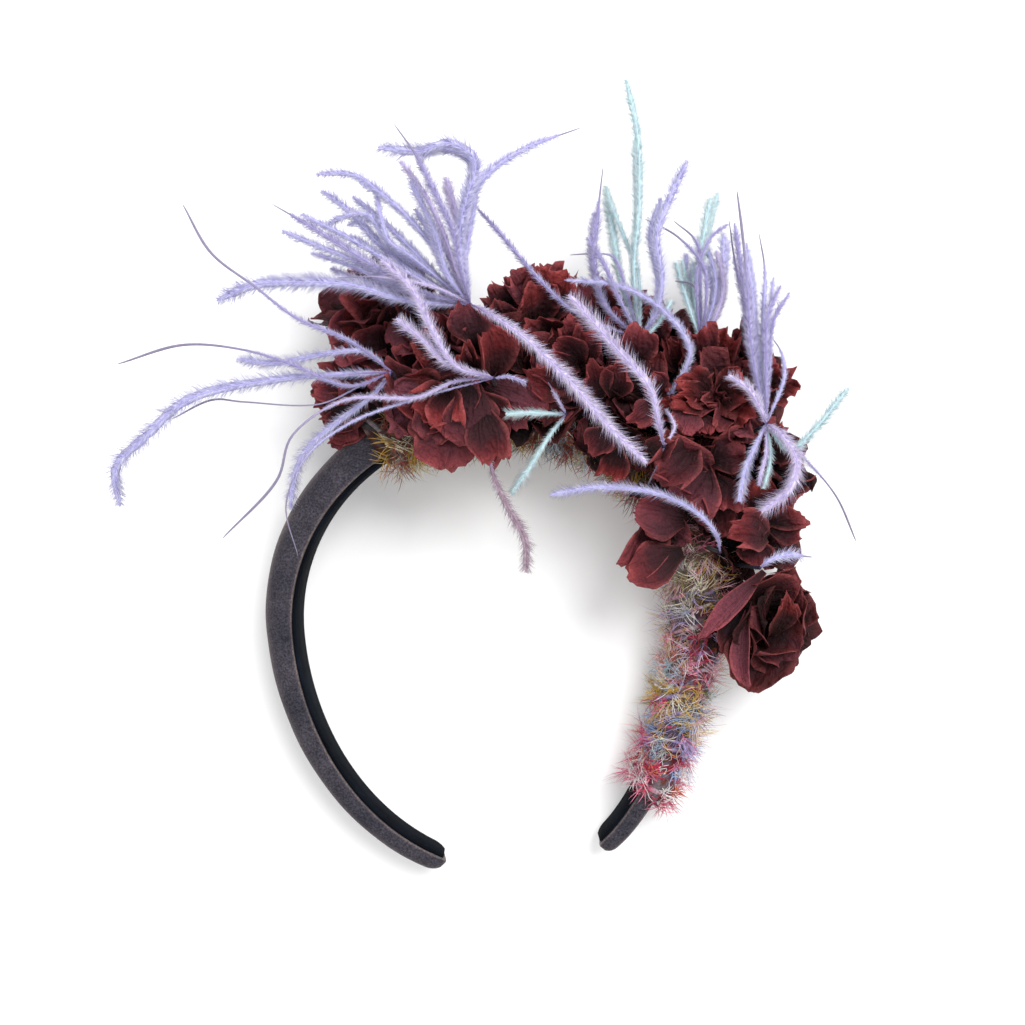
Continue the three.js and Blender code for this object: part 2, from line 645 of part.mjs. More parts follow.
// Neighbouring blooms press on each other: each keeps to its own side of the plane between them.
function besideNeighbours(solid, bloom) {
  const { centre } = bloomFrame(bloom);
  let trimmed = solid;
  for (const other of BLOOMS) {
    const away = centre.clone().sub(bloomFrame(other).centre);
    const distance = away.length();
    if (other === bloom || distance > bloom[4] + other[4] + NEIGHBOUR_MARGIN) {
      continue;
    }
    away.normalize();
    const weight = other[4] / (bloom[4] + other[4]);
    const offset = away.dot(bloomFrame(other).centre) + distance * weight + GAP / 2;
    trimmed = trimmed.trimByPlane([away.x, away.y, away.z], offset);
  }
  return trimmed;
}

// A strand runs along a smooth curve as a flat strip that narrows to its quill at both ends.
function strandSolid(strand, head, grow) {
  const [, tipHeight, arch, width, bareShare, ...seen] = strand;
  const pixels = [...seen].reverse();
  const points = [head.clone()];
  pixels.forEach(([across, down], index) => {
    const share = (index + 1) / pixels.length;
    const height = mix(head.z, tipHeight, share) + arch * Math.sin(share * Math.PI);
    points.push(seenAt(across, down, height));
  });
  const curve = new THREE.CatmullRomCurve3(points, false, 'centripetal');
  const rings = [];
  const steps = clamp(Math.round(curve.getLength() / STRAND_STEP), STRAND_LEAST_STEPS, STRAND_MOST_STEPS);
  for (let step = 0; step <= steps; step += 1) {
    const share = step / steps;
    const centre = curve.getPointAt(share);
    const ahead = curve.getTangentAt(share);
    const side = ahead.clone().cross(new Vector3(0, 0, 1)).normalize();
    const up = side.clone().cross(ahead);
    const bare = share > 1 - bareShare || step === 0;
    const wide = (bare || step === steps ? QUILL_WIDTH : width) / 2 + grow;
    const thick = STRAND_THICK / 2 + grow;
    rings.push([
      centre.clone().addScaledVector(side, -wide).addScaledVector(up, -thick),
      centre.clone().addScaledVector(side, wide).addScaledVector(up, -thick),
      centre.clone().addScaledVector(up, thick * 2),
    ]);
  }
  return sweptSolid(rings);
}

function spraySolid(spray, grow) {
  const [name, across, down, height] = spray;
  const head = seenAt(across, down, height);
  const parts = [ballSolid(head, SPRAY_HEAD_RADIUS + grow)];
  parts.push(stemSolid(head, nearestOnBand(head), SPRAY_STEM_RADIUS + grow));
  for (const strand of STRANDS) {
    if (strand[0] === name) {
      parts.push(strandSolid(strand, head, grow));
    }
  }
  return wasm.Manifold.union(parts);
}

// The biggest body of a solid, without the crumbs that a cut leaves loose.
function mainBody(solid) {
  const bodies = solid.simplify(SMALLEST_DETAIL).decompose();
  bodies.sort((first, second) => second.volume() - first.volume());
  return bodies[0];
}

function meshOf(name, solid, look) {
  const { vertProperties, triVerts, numProp } = solid.getMesh();
  const positions = [];
  for (const corner of triVerts) {
    const first = corner * numProp;
    positions.push(vertProperties[first], vertProperties[first + 1], vertProperties[first + 2]);
  }
  const geometry = new THREE.BufferGeometry();
  geometry.setAttribute('position', new THREE.Float32BufferAttribute(positions, 3));
  geometry.computeVertexNormals();
  const mesh = new THREE.Mesh(geometry, new THREE.MeshStandardMaterial({ metalness: 0, ...look }));
  mesh.name = name;
  return mesh;
}

const headpiece = new THREE.Group();
const velvetBand = padSolid(0, 0);
const innerLining = liningSolid();
const roomForBand = padSolid(GAP, GAP + LINING_THICK + GAP);
const yarnWrap = yarnSolid(0).subtract(roomForBand);
headpiece.add(meshOf('velvet_band', velvetBand, VELVET));
headpiece.add(meshOf('inner_lining', innerLining, LINING));
headpiece.add(meshOf('yarn_wrap', yarnWrap, YARN));

// The feathers are cut back to clear the yarn, and the blooms to clear both and each other.
const roomForYarn = yarnSolid(GAP).add(roomForBand);
const roomForSprays = wasm.Manifold.union(SPRAYS.map((spray) => spraySolid(spray, GAP)));
let taken = roomForYarn;
for (const spray of SPRAYS) {
  const solid = mainBody(spraySolid(spray, 0).subtract(taken));
  headpiece.add(meshOf(spray[0], solid, spray[4]));
  taken = taken.add(spraySolid(spray, GAP));
}
const roomForAll = roomForYarn.add(roomForSprays);
BLOOMS.forEach((bloom, order) => {
  const solid = besideNeighbours(bloomSolid(bloom, order), bloom).subtract(roomForAll);
  headpiece.add(meshOf(bloom[0], mainBody(solid), PETAL));
});

export default headpiece;
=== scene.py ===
# %% [markdown]
# # A floral headpiece, seen from straight above
# This notebook dresses the plain solids of a padded hair band: velvet over foam, a thin lining, fuzzy
# yarn, dried blooms and sprays of ostrich feather. The solids are loaded first and never moved, and
# nearly every piece below stands in the place of one of them.

import math

import bpy
import numpy as np
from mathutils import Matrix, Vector


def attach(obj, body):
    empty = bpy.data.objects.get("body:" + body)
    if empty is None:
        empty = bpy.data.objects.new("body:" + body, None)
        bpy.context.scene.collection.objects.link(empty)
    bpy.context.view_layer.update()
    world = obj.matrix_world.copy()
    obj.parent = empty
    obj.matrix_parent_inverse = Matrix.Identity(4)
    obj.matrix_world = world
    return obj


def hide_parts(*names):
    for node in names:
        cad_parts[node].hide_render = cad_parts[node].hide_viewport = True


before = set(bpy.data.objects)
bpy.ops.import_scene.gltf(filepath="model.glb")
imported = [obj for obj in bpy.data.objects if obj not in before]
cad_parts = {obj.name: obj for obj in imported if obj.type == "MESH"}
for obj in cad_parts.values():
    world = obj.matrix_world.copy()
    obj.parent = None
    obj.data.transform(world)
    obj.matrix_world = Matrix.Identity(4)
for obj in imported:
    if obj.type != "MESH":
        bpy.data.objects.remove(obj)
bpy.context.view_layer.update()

# %% [markdown]
# Blender works in metres, but every length below is in millimetres, and one helper scales the points
# when a mesh is made. Angles along the arch start at its top, positive towards the wound leg. Places
# that were chosen stand in short tables of text, read by one small function.

# %% Small number helpers
MM = 0.001
TAU = 2 * math.pi
radians = np.radians


def mix(low, high, share):
    return low + (high - low) * share


def smooth(value, low, high):
    share = np.clip((value - low) / (high - low), 0, 1)
    return share * share * (3 - 2 * share)


def unit(vectors):
    length = np.linalg.norm(vectors, axis=-1, keepdims=True)
    return vectors / np.maximum(length, 1e-9)


def spread(index, salt):
    """A repeatable number between 0 and 1 for the small differences between petals."""
    wave = math.sin(index * 12.9898 + salt * 78.233) * 43758.5453
    return wave - math.floor(wave)


def colour(code):
    """A hex colour as Blender's linear red, green, blue and alpha."""
    values = [int(code[place:place + 2], 16) / 255 for place in (1, 3, 5)]
    linear = [v / 12.92 if v <= 0.04045 else ((v + 0.055) / 1.055) ** 2.4 for v in values]
    return (*linear, 1.0)


def cell(word):
    """A word of a table as a number, a name, or a place where it has commas."""
    if "," in word:
        return tuple(cell(part) for part in word.split(","))
    if word[0] not in "-0123456789":
        return word
    return float(word) if "." in word else int(word)


def table(text):
    """The rows of a table. A line with one name on it stands before each row below it."""
    rows = []
    heading = ()
    for line in text.strip().splitlines():
        row = tuple(cell(word) for word in line.split())
        if len(row) == 1:
            heading = row
        else:
            rows.append(heading + row)
    return rows


def rows_of(name, rows):
    """The rows that stand under one name, without it."""
    return [row[1:] for row in rows if row[0] == name]


print("half of a smooth step:", smooth(0.5, 0, 1), "a row:", table("12,4 0.5 rose"))

# %% [markdown]
# A piece is made of many small closed bodies, so one helper builds a mesh from arrays of points and
# faces. It also stores a few numbers on each point, such as how far along a petal the point lies,
# which the materials read to colour hearts, rims and tips.

# %% Make a mesh from arrays
def make_piece(name, points, faces, marks, material, slot, nodes=()):
    """points in millimetres; marks are values kept on the points; nodes are the solids replaced."""
    mesh = bpy.data.meshes.new(name)
    mesh.from_pydata((points * MM).tolist(), [], faces)
    for mark, values in marks.items():
        if values.ndim == 2:
            layer = mesh.attributes.new(mark, "FLOAT_COLOR", "POINT")
            layer.data.foreach_set("color", values.astype(np.float32).ravel())
        else:
            layer = mesh.attributes.new(mark, "FLOAT", "POINT")
            layer.data.foreach_set("value", values.astype(np.float32))
    mesh.polygons.foreach_set("use_smooth", [True] * len(mesh.polygons))
    mesh.materials.append(material)
    piece = bpy.data.objects.new(name, mesh)
    bpy.context.scene.collection.objects.link(piece)
    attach(piece, "root")
    if nodes:
        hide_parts(*nodes)
    return piece


class Heap:
    """Collects closed bodies, with the marks on their points, to be made into one mesh."""

    def __init__(self):
        self.points = []
        self.faces = []
        self.marks = {}
        self.count = 0

    def add(self, points, faces, **marks):
        self.faces += [[corner + self.count for corner in face] for face in faces]
        self.points.append(points)
        self.count += len(points)
        for mark, values in marks.items():
            self.marks.setdefault(mark, []).append(values)

    def make(self, name, material, slot, nodes=()):
        marks = {mark: np.concatenate(values) for mark, values in self.marks.items()}
        return make_piece(name, np.concatenate(self.points), self.faces, marks, material, slot, nodes)


print("mesh helper ready")

# %% [markdown]
# Three shapes are used again and again: a sweep through rings of points, a bundle of thin hairs, and a
# smooth curve through a few places. The hairs have three sides, as nobody sees their section.

# %% Sweeps, hairs and curves
CURVE_FINENESS = 24
HAIR_SIDES = 3
STEEP_PATH = 0.05
ODD_DIRECTION = (0.31, 0.24, 0.92)


def sweep_faces(rings, sides):
    faces = []
    for ring in range(rings - 1):
        for side in range(sides):
            after = (side + 1) % sides
            low = ring * sides
            faces.append([low + side, low + after, low + sides + after, low + sides + side])
    last = (rings - 1) * sides
    faces.append(list(range(sides))[::-1])
    faces.append([last + side for side in range(sides)])
    return faces


def ring_body(lines):
    """A closed body from lines of points that run side by side along it."""
    points = np.stack(lines, axis=1)
    return points.reshape(-1, 3), sweep_faces(*points.shape[:2])


def ripple(place, *parts):
    """A sum of sine waves, each given by its height, its waves along the place and its start."""
    return sum(height * np.sin(place * waves + start) for height, waves, start in parts)


def tube(path, radii, sides):
    """A closed round tube along a path of points, with a radius at each of them."""
    ahead = unit(np.gradient(path, axis=0))
    side = np.cross(ahead, [0.0, 0.0, 1.0])
    side[np.linalg.norm(side, axis=1) < STEEP_PATH] = [1.0, 0.0, 0.0]
    side = unit(side - ahead * np.sum(side * ahead, axis=1, keepdims=True))
    for place in range(1, len(side)):
        if side[place] @ side[place - 1] < 0:
            side[place] = -side[place]
    other = np.cross(ahead, side)
    turn = np.arange(sides) / sides * TAU
    around = np.cos(turn)[None, :, None] * side[:, None] + np.sin(turn)[None, :, None] * other[:, None]
    points = path[:, None] + around * np.asarray(radii)[:, None, None]
    return points.reshape(-1, 3), sweep_faces(len(path), sides)


def hairs(paths, radii, tints):
    """Many thin three-sided hairs at once: paths is hairs by joints by 3, and each ends in a point."""
    count, joints, _ = paths.shape
    ahead = unit(paths[:, -1] - paths[:, 0])
    side = unit(np.cross(ahead, ODD_DIRECTION))
    other = np.cross(ahead, side)
    turns = [corner / HAIR_SIDES * TAU for corner in range(HAIR_SIDES)]
    around = np.stack([math.cos(turn) * side + math.sin(turn) * other for turn in turns], axis=1)
    body = paths[:, :-1, None] + around[:, None] * np.asarray(radii)[None, :, None, None]
    points = np.concatenate([body.reshape(count, -1, 3), paths[:, -1:]], axis=1)
    each = points.shape[1]
    pattern = sweep_faces(joints - 1, HAIR_SIDES)[:-1]
    last = (joints - 2) * HAIR_SIDES
    for corner in range(HAIR_SIDES):
        pattern.append([last + corner, last + (corner + 1) % HAIR_SIDES, each - 1])
    faces = [[hair * each + corner for corner in face] for hair in range(count) for face in pattern]
    return points.reshape(-1, 3), faces, np.repeat(tints, each, axis=0)


def between(first, second, low, high, t):
    return (first * (high - t) + second * (t - low)) / (high - low)


def smooth_curve(places, count):
    """A curve through every place, evenly stepped: a centripetal Catmull-Rom spline."""
    places = np.asarray(places, dtype=float)
    knots = np.concatenate([[2 * places[0] - places[1]], places, [2 * places[-1] - places[-2]]])
    fine = []
    for index in range(1, len(knots) - 2):
        p0, p1, p2, p3 = knots[index - 1:index + 3]
        t1, t2, t3 = np.cumsum([np.linalg.norm(step) ** 0.5 for step in (p1 - p0, p2 - p1, p3 - p2)])
        t = np.linspace(t1, t2, CURVE_FINENESS, endpoint=index == len(knots) - 3)[:, None]
        a1 = between(p0, p1, 0, t1, t)
        a2 = between(p1, p2, t1, t2, t)
        a3 = between(p2, p3, t2, t3, t)
        fine.append(between(between(a1, a2, 0, t2, t), between(a2, a3, t1, t3, t), t1, t2, t))
    fine = np.concatenate(fine)
    run = np.concatenate([[0], np.cumsum(np.linalg.norm(np.diff(fine, axis=0), axis=1))])
    at = np.linspace(0, run[-1], count)
    return np.stack([np.interp(at, run, fine[:, axis]) for axis in range(3)], axis=1), run[-1]


print("a test curve is", round(smooth_curve([(0, 0, 0), (10, 5, 0), (20, 0, 0)], 9)[1], 2), "mm long")

# %% [markdown]
# The band lies on its back edge, and the picture is taken from straight above, 400 mm over the
# table. Places are in pixels of it, and a height above the table turns them into millimetres.

# %% The viewpoint and the camera
VIEW_HEIGHT = 400
VIEW_X = 7.5
VIEW_Y = -6.6
VIEW_CENTRE_PIXEL = 512.5
PICTURE_PIXELS = 1025
TABLE_MM_PER_PIXEL = 0.3299
SENSOR_WIDTH = 36


def seen_at(across, down, height):
    """The point seen at a pixel of the picture, at a height above the table."""
    scale = TABLE_MM_PER_PIXEL * (VIEW_HEIGHT - height) / VIEW_HEIGHT
    x = VIEW_X + (across - VIEW_CENTRE_PIXEL) * scale
    y = VIEW_Y + (VIEW_CENTRE_PIXEL - down) * scale
    return np.array([x, y, height], dtype=float)


camera_data = bpy.data.cameras.new("camera")
camera_data.sensor_width = SENSOR_WIDTH
camera_data.lens = SENSOR_WIDTH * VIEW_HEIGHT / (PICTURE_PIXELS * TABLE_MM_PER_PIXEL)
camera_data.clip_start = 0.01
camera = bpy.data.objects.new("camera", camera_data)
camera.location = (VIEW_X * MM, VIEW_Y * MM, VIEW_HEIGHT * MM)
bpy.context.scene.collection.objects.link(camera)
bpy.context.scene.camera = camera
print("lens:", round(camera_data.lens, 2), "mm")

# %% [markdown]
# A material is a graph of nodes, but sums are easier to read as sums. The class below wraps an output
# socket, so that `0.2 + 0.5 * mask` adds the Math nodes by itself. The reflected forms let a plain
# number stand first. Colours go through Mix nodes, as a Math node would turn them grey.

# %% Arithmetic on shader values
class Value:
    """One output socket of a material, with ordinary arithmetic."""

    def __init__(self, surface, socket):
        self.surface = surface
        self.socket = socket

    def math(self, operation, first, second):
        return self.surface.node("ShaderNodeMath", {"operation": operation}, {0: first, 1: second})

    def __add__(self, other):
        return self.math("ADD", self, other)

    def __radd__(self, other):
        return self.math("ADD", other, self)

    def __sub__(self, other):
        return self.math("SUBTRACT", self, other)

    def __rsub__(self, other):
        return self.math("SUBTRACT", other, self)

    def __mul__(self, other):
        return self.math("MULTIPLY", self, other)

    def __rmul__(self, other):
        return self.math("MULTIPLY", other, self)

    def __pow__(self, other):
        return self.math("POWER", self, other)


def set_stops(ramp, stops):
    while len(ramp.elements) < len(stops):
        ramp.elements.new(0.5)
    for element, (place, code) in zip(ramp.elements, stops):
        element.position = place
        element.color = colour(code)


class Surface:
    """A material under construction."""

    def __init__(self, name):
        self.material = bpy.data.materials.new(name)
        self.material.use_nodes = True
        self.nodes = self.material.node_tree.nodes
        self.links = self.material.node_tree.links
        self.nodes.clear()

    def node(self, kind, settings=None, inputs=None, output=0):
        """Adds a node: its settings first, then the values or links of its sockets."""
        node = self.nodes.new(kind)
        for setting, value in (settings or {}).items():
            if setting == "stops":
                set_stops(node.color_ramp, value)
            else:
                setattr(node, setting, value)
        for key, value in (inputs or {}).items():
            socket = node.inputs[key]
            if isinstance(value, Value):
                self.links.new(value.socket, socket)
            else:
                socket.default_value = value
        return Value(self, node.outputs[output]) if len(node.outputs) else None

    def noise(self, scale, detail=3.0, roughness=0.55):
        place = self.node("ShaderNodeTexCoord", output="Object")
        settings = {"noise_dimensions": "3D"}
        inputs = {"Vector": place, "Scale": scale, "Detail": detail, "Roughness": roughness}
        return self.node("ShaderNodeTexNoise", settings, inputs)

    def mark(self, name, kind="Fac"):
        """A number, or a colour, that was stored on the points of the mesh."""
        return self.node("ShaderNodeAttribute", {"attribute_name": name}, output=kind)

    def blend(self, share, first, second, way="MIX"):
        settings = {"data_type": "RGBA", "blend_type": way}
        return self.node("ShaderNodeMix", settings, {0: share, 6: first, 7: second}, output=2)

    def ramp(self, value, stops):
        return self.node("ShaderNodeValToRGB", {"stops": stops}, {"Fac": value}, output="Color")

    def bump(self, height, strength, distance):
        inputs = {"Height": height, "Strength": strength, "Distance": distance * MM}
        return self.node("ShaderNodeBump", {}, inputs)

    def wave(self, value, operation="SINE"):
        return self.node("ShaderNodeMath", {"operation": operation}, {0: value})

    def finish(self, base, roughness, specular, normal=None, sheen=None):
        """Ends the material. sheen is its weight, its roughness and its colour."""
        inputs = {"Base Color": base, "Roughness": roughness, "Specular IOR Level": specular}
        if normal:
            inputs["Normal"] = normal
        if sheen:
            inputs["Sheen Weight"] = sheen[0]
            inputs["Sheen Roughness"] = sheen[1]
            inputs["Sheen Tint"] = colour(sheen[2])
        shader = self.node("ShaderNodeBsdfPrincipled", {}, inputs)
        self.node("ShaderNodeOutputMaterial", {}, {"Surface": shader})
        return self.material


print("shader helper ready")

# %% [markdown]
# ## The padded velvet band
# The real band is a plastic hoop under foam, wrapped in short-pile velvet: domed outside, flat
# inside, widest at the top and narrow at its rounded tips. The wound leg bows in a little.
# It could be carved or simulated, but the cloth is pulled tight over the foam, so a sweep whose
# section follows the arch gives the truest shape, with faint waves where the velvet is gathered.

# %% The arch of the band
ARCH_HALF_WIDTH = 73.6
ARCH_RISE = 70.5
ARCH_DROP = 88
ARCH_END = radians(159)
ARCH_CENTRE = np.array([3.2, -37.7, 15.4])
ARCH_TURN = radians(5.6)
LEAN = radians(3.2)
ROLL = radians(-0.5)
TUCK = 8
TUCK_START = radians(55)
TUCK_PEAK = radians(115)


def turn_about(axis, angle):
    cosine, sine = math.cos(angle), math.sin(angle)
    first, second = (axis + 1) % 3, (axis + 2) % 3
    matrix = np.eye(3)
    matrix[first, first] = cosine
    matrix[first, second] = -sine
    matrix[second, first] = sine
    matrix[second, second] = cosine
    return matrix


LIE_DOWN = turn_about(2, ARCH_TURN) @ turn_about(0, LEAN) @ turn_about(1, -ROLL)


def tuck_at(angle):
    """How far the wound leg bows in at an angle along the arch."""
    past = TUCK * np.sin(math.pi / 2 * (ARCH_END - angle) / (ARCH_END - TUCK_PEAK))
    return np.where(angle < TUCK_PEAK, TUCK * smooth(angle, TUCK_START, TUCK_PEAK), past)


def band_point(angle, outward, sideways):
    """A point of the band: angle along the arch, out from the padding, and across its width."""
    angle, outward, sideways = np.broadcast_arrays(angle, outward, sideways)
    rise = np.where(np.abs(angle) < math.pi / 2, ARCH_RISE, ARCH_DROP)
    along = np.stack([ARCH_HALF_WIDTH * np.sin(angle) - tuck_at(angle), rise * np.cos(angle)], axis=-1)
    normal = unit(np.stack([np.sin(angle) / ARCH_HALF_WIDTH, np.cos(angle) / rise], axis=-1))
    flat = along + normal * outward[..., None]
    local = np.concatenate([flat, sideways[..., None]], axis=-1)
    return local @ LIE_DOWN.T + ARCH_CENTRE


print("top of the arch:", band_point(0.0, 0.0, 0.0).round(1))

# %% The section of the padding
PAD_THICK = (11.5, 9.1, 5.8)
PAD_WIDE = (28, 20, 12)
LEG_SHARE = 0.56
LEG_EASE = 1.6
DOME_DEPTH = 0.86
DOME_POWER = 0.75
FLAT_SHARE = 0.9
TIP_ROUNDING = 7
TIP_LEAST = 0.12
OUTER_ROUNDING = 0.65


def pad_size(angle, sizes):
    """A size of the padding, given at the top, halfway down a leg and at a tip."""
    top, leg, tip = sizes
    share = np.abs(angle) / ARCH_END
    upper = mix(top, leg, np.clip(share / LEG_SHARE, 0, 1) ** LEG_EASE)
    lower = mix(leg, tip, (share - LEG_SHARE) / (1 - LEG_SHARE))
    return np.where(share < LEG_SHARE, upper, lower)


def tip_rounding(angle):
    left = (ARCH_END - np.abs(angle)) * ARCH_DROP
    inside = np.clip(1 - left / TIP_ROUNDING, 0, 1)
    return np.maximum(np.sqrt(1 - inside * inside), TIP_LEAST)


def pad_faces(angle):
    """How far the outer and inner faces of the padding lie from its outline."""
    thick = pad_size(angle, PAD_THICK)
    loss = thick * (1 - tip_rounding(angle))
    return -loss * OUTER_ROUNDING, loss * (1 - OUTER_ROUNDING) - thick


print("padding at the top:", float(pad_size(0.0, PAD_THICK)), "mm thick")

# %% [markdown]
# Velvet is a short dense pile, dark face on and lighter where it turns away. Real hairs would do that
# too, but a band has far too many of them. A stored number gives the outer and inner faces, which the
# eye sees at a slant, a painted sheen in their colour; a real sheen adds the dusty light, and two
# noises give the grain and the brushing.

# %% The velvet's own look
def velvet_material():
    surface = Surface("charcoal_velvet")
    edge = surface.mark("edge")
    pile = surface.noise(1500, 2.0, 0.75)
    brushed = surface.noise(80, 4.0, 0.6)
    # Painted sheen: the edge mark lifts the colour towards a light dusty grey on the faces seen at a slant.
    place = 0.55 * edge ** 2.5 + 0.75 * brushed - 0.15
    shade = surface.ramp(place, [(0.1, "#3c3c46"), (0.45, "#5a565f"), (0.9, "#958a88")])
    grain = surface.ramp(pile, [(0.32, "#787272"), (0.5, "#c4bebe"), (0.68, "#ffffff")])
    base = surface.blend(0.85, shade, grain, "MULTIPLY")
    height = 0.8 * pile + 0.2 * brushed
    return surface.finish(base, 0.95, 0.1, surface.bump(height, 0.6, 0.4), (0.55, 0.35, "#a3968f"))


VELVET = velvet_material()
print("velvet ready:", len(VELVET.node_tree.nodes), "nodes")

# %% Build the velvet band
BAND_STEPS = 240
DOME_STEPS = 24
FLAT_STEPS = 5
GATHER_DEPTH = 0.16
GATHERS = 61
GATHER_WANDERS = 17
WIDE_GATHERS = 23
CLOSER_AT_TIPS = 0.35


def tip_stations(end, steps):
    """Angles along the arch, closer together towards the rounded tips."""
    even = np.linspace(-1, 1, steps)
    bunched = np.sin(even * math.pi / 2)
    return end * mix(even, bunched, CLOSER_AT_TIPS)


def band_piece():
    angles = tip_stations(ARCH_END, BAND_STEPS)
    outer, inner = pad_faces(angles)
    rounding = tip_rounding(angles)
    half = pad_size(angles, PAD_WIDE) / 2 * rounding
    lines = []
    painted_sheen = []
    for turn in np.linspace(-math.pi / 2, math.pi / 2, DOME_STEPS):
        dip = DOME_DEPTH * (1 - math.cos(turn) ** DOME_POWER)
        wander = ripple(angles, (2.1, GATHER_WANDERS, 0))
        gather = ripple(angles, (abs(math.sin(turn)) ** 3, GATHERS, wander), (0.6, WIDE_GATHERS, turn * 2))
        outward = outer + dip * (inner - outer) - GATHER_DEPTH * (0.5 + 0.5 * gather) * rounding
        lines.append(band_point(angles, outward, math.sin(turn) * half))
        painted_sheen.append(1 - abs(math.sin(turn)))
    for share in np.linspace(FLAT_SHARE, -FLAT_SHARE, FLAT_STEPS):
        lines.append(band_point(angles, inner, share * half))
        painted_sheen.append(1.0)
    # The edge mark holds the painted sheen: full on the middle of the dome and on the inner face, none at
    # the sides.
    marks = {"edge": np.tile(painted_sheen, BAND_STEPS)}
    return make_piece("padded_band", *ring_body(lines), marks, VELVET, "velvet", ["velvet_band"])


band = band_piece()
print("velvet band:", len(band.data.polygons), "faces")

# %% [markdown]
# ## The lining
# A thin blue-black strip is glued along the inside. It shows on both legs as a dark line, because
# the eye is above the middle of the band and looks a little outwards at them. A flat sheet would do
# from here, but a thin closed sweep has the real thickness. Its cross ribs are finer than a thread, so
# they are bump.

# %% Build the lining
GAP = 0.3
LINING_THICK = 1
LINING_SHARE = 0.84
LINING_INSET = radians(1.2)
LINING_STEPS = 200
LINING_EDGE = 0.25


def lining_material():
    surface = Surface("ribbed_lining")
    place = surface.node("ShaderNodeTexCoord", output="Object")
    settings = {"wave_type": "BANDS", "bands_direction": "DIAGONAL"}
    inputs = {"Vector": place, "Scale": 420.0, "Distortion": 0.6, "Detail": 1.0}
    ribs = surface.node("ShaderNodeTexWave", settings, inputs, output="Fac")
    patches = surface.noise(60, 3.0)
    base = surface.ramp(patches, [(0.3, "#07090e"), (0.6, "#0e131b"), (0.8, "#171e29")])
    return surface.finish(base, 0.85, 0.04, surface.bump(ribs, 0.35, 0.12))


def lining_piece():
    angles = tip_stations(ARCH_END - LINING_INSET, LINING_STEPS)
    half = pad_size(angles, PAD_WIDE) / 2 * LINING_SHARE * tip_rounding(angles)
    near = pad_faces(angles)[1] - GAP
    far = near - LINING_THICK
    bevel = np.minimum(LINING_EDGE, half / 2)
    corners = [
        (near - bevel, -half), (near, bevel - half), (near, half - bevel), (near - bevel, half),
        (far + bevel, half), (far, half - bevel), (far, bevel - half), (far + bevel, -half),
    ]
    body = ring_body([band_point(angles, outward, sideways) for outward, sideways in corners])
    return make_piece("lining_strip", *body, {}, lining_material(), "lining", ["inner_lining"])


lining = lining_piece()
print("lining:", len(lining.data.polygons), "faces")

# %% [markdown]
# ## The wound yarn
# Eyelash yarn is a thin core thread with long soft hairs, dyed in changing colours. It is wound
# round and round the band, so the hairs of one turn cover the next. Up on the arch it is olive, gold
# and cream; down the leg it turns to pink, crimson, lilac, light blue and mustard.
# Hair from a particle system would be lost on export, so plain arrays make a wound sleeve, four cords
# that wind along it, and thousands of thin curved hairs.

# %% Where the yarn lies
YARN_START = radians(-29)
YARN_END = radians(138)
YARN_DEPTH = (5.2, 4.4)
YARN_SQUARE = 2.8
SLEEVE_SHARE = 0.62
PUSH_REACH = 2.5
MOST_GROWTH = 3


def yarn_surface(angle, turn, depth_share, extra=0.0):
    """A point on the wound sleeve: along the arch, round the band, and how much of its depth."""
    share = (angle - YARN_START) / (YARN_END - YARN_START)
    depth = mix(*YARN_DEPTH, share) * depth_share + extra
    inside = pad_size(angle, PAD_THICK) + GAP + LINING_THICK
    cosine = np.sign(np.cos(turn)) * np.abs(np.cos(turn)) ** (2 / YARN_SQUARE)
    sine = np.sign(np.sin(turn)) * np.abs(np.sin(turn)) ** (2 / YARN_SQUARE)
    outward = -inside / 2 + cosine * (inside / 2 + depth)
    return band_point(angle, outward, sine * (pad_size(angle, PAD_WIDE) / 2 + depth))


def out_of_yarn(points, clearance):
    """Pushes points that lie inside the wound sleeve out to its surface."""
    angles = np.arange(YARN_START, YARN_END + 0.02, 0.02)
    middle_out = -(pad_size(angles, PAD_THICK) + GAP + LINING_THICK) / 2
    middles = band_point(angles, middle_out, 0.0)
    outs = unit(band_point(angles, middle_out + 1, 0.0) - middles)
    sides = unit(band_point(angles, middle_out, 1.0) - middles)
    aheads = np.cross(outs, sides)
    away = points[:, None] - middles[None]
    beside = np.abs(np.einsum("pak,ak->pa", away, aheads))
    nearest = np.argmin(beside + 0.05 * np.linalg.norm(away, axis=2), axis=1)
    away = away[np.arange(len(points)), nearest]
    out, side, ahead = (np.sum(away * ways[nearest], axis=1) for ways in (outs, sides, aheads))
    angle = angles[nearest]
    depth = mix(*YARN_DEPTH, (angle - YARN_START) / (YARN_END - YARN_START)) * SLEEVE_SHARE + clearance
    reach_out = -middle_out[nearest] + depth
    reach_side = pad_size(angle, PAD_WIDE) / 2 + depth
    inside = (np.abs(out) / reach_out) ** YARN_SQUARE + (np.abs(side) / reach_side) ** YARN_SQUARE
    grow = np.maximum(inside, 0.02) ** (-1 / YARN_SQUARE)
    hidden = (inside < 1) & (np.abs(ahead) < PUSH_REACH)
    grow = np.where(hidden, np.minimum(grow, MOST_GROWTH), 1)[:, None]
    offset = outs[nearest] * out[:, None] + sides[nearest] * side[:, None]
    return points + offset * (grow - 1)


print("yarn runs from", round(math.degrees(YARN_START)), "to", round(math.degrees(YARN_END)), "degrees")

# %% [markdown]
# Neighbouring hairs mostly share a dye, and the dyes change along the band. A painted picture can't
# hold that, since a hair has no flat skin to paint. So each hair takes a dye from the zone where it
# grows, and the colour is stored on its points.

# %% The dyes of the yarn
YARN_DYES = {
    "cream": "#ddd2b6", "gold": "#b8933f", "grey": "#938d8c", "dark": "#5b4a42", "olive": "#85764a",
    "rust": "#8c4534", "steel": "#a9b6c2", "pink": "#d4738c", "blush": "#e6b3bf", "crimson": "#b32b47",
    "orange": "#cf6a44", "lilac": "#b0a2d4", "blue": "#8ea6d0", "sky": "#b4cbe2", "white": "#ece8e8",
    "mustard": "#c6a449", "magenta": "#d0407c", "plum": "#4a3348",
}

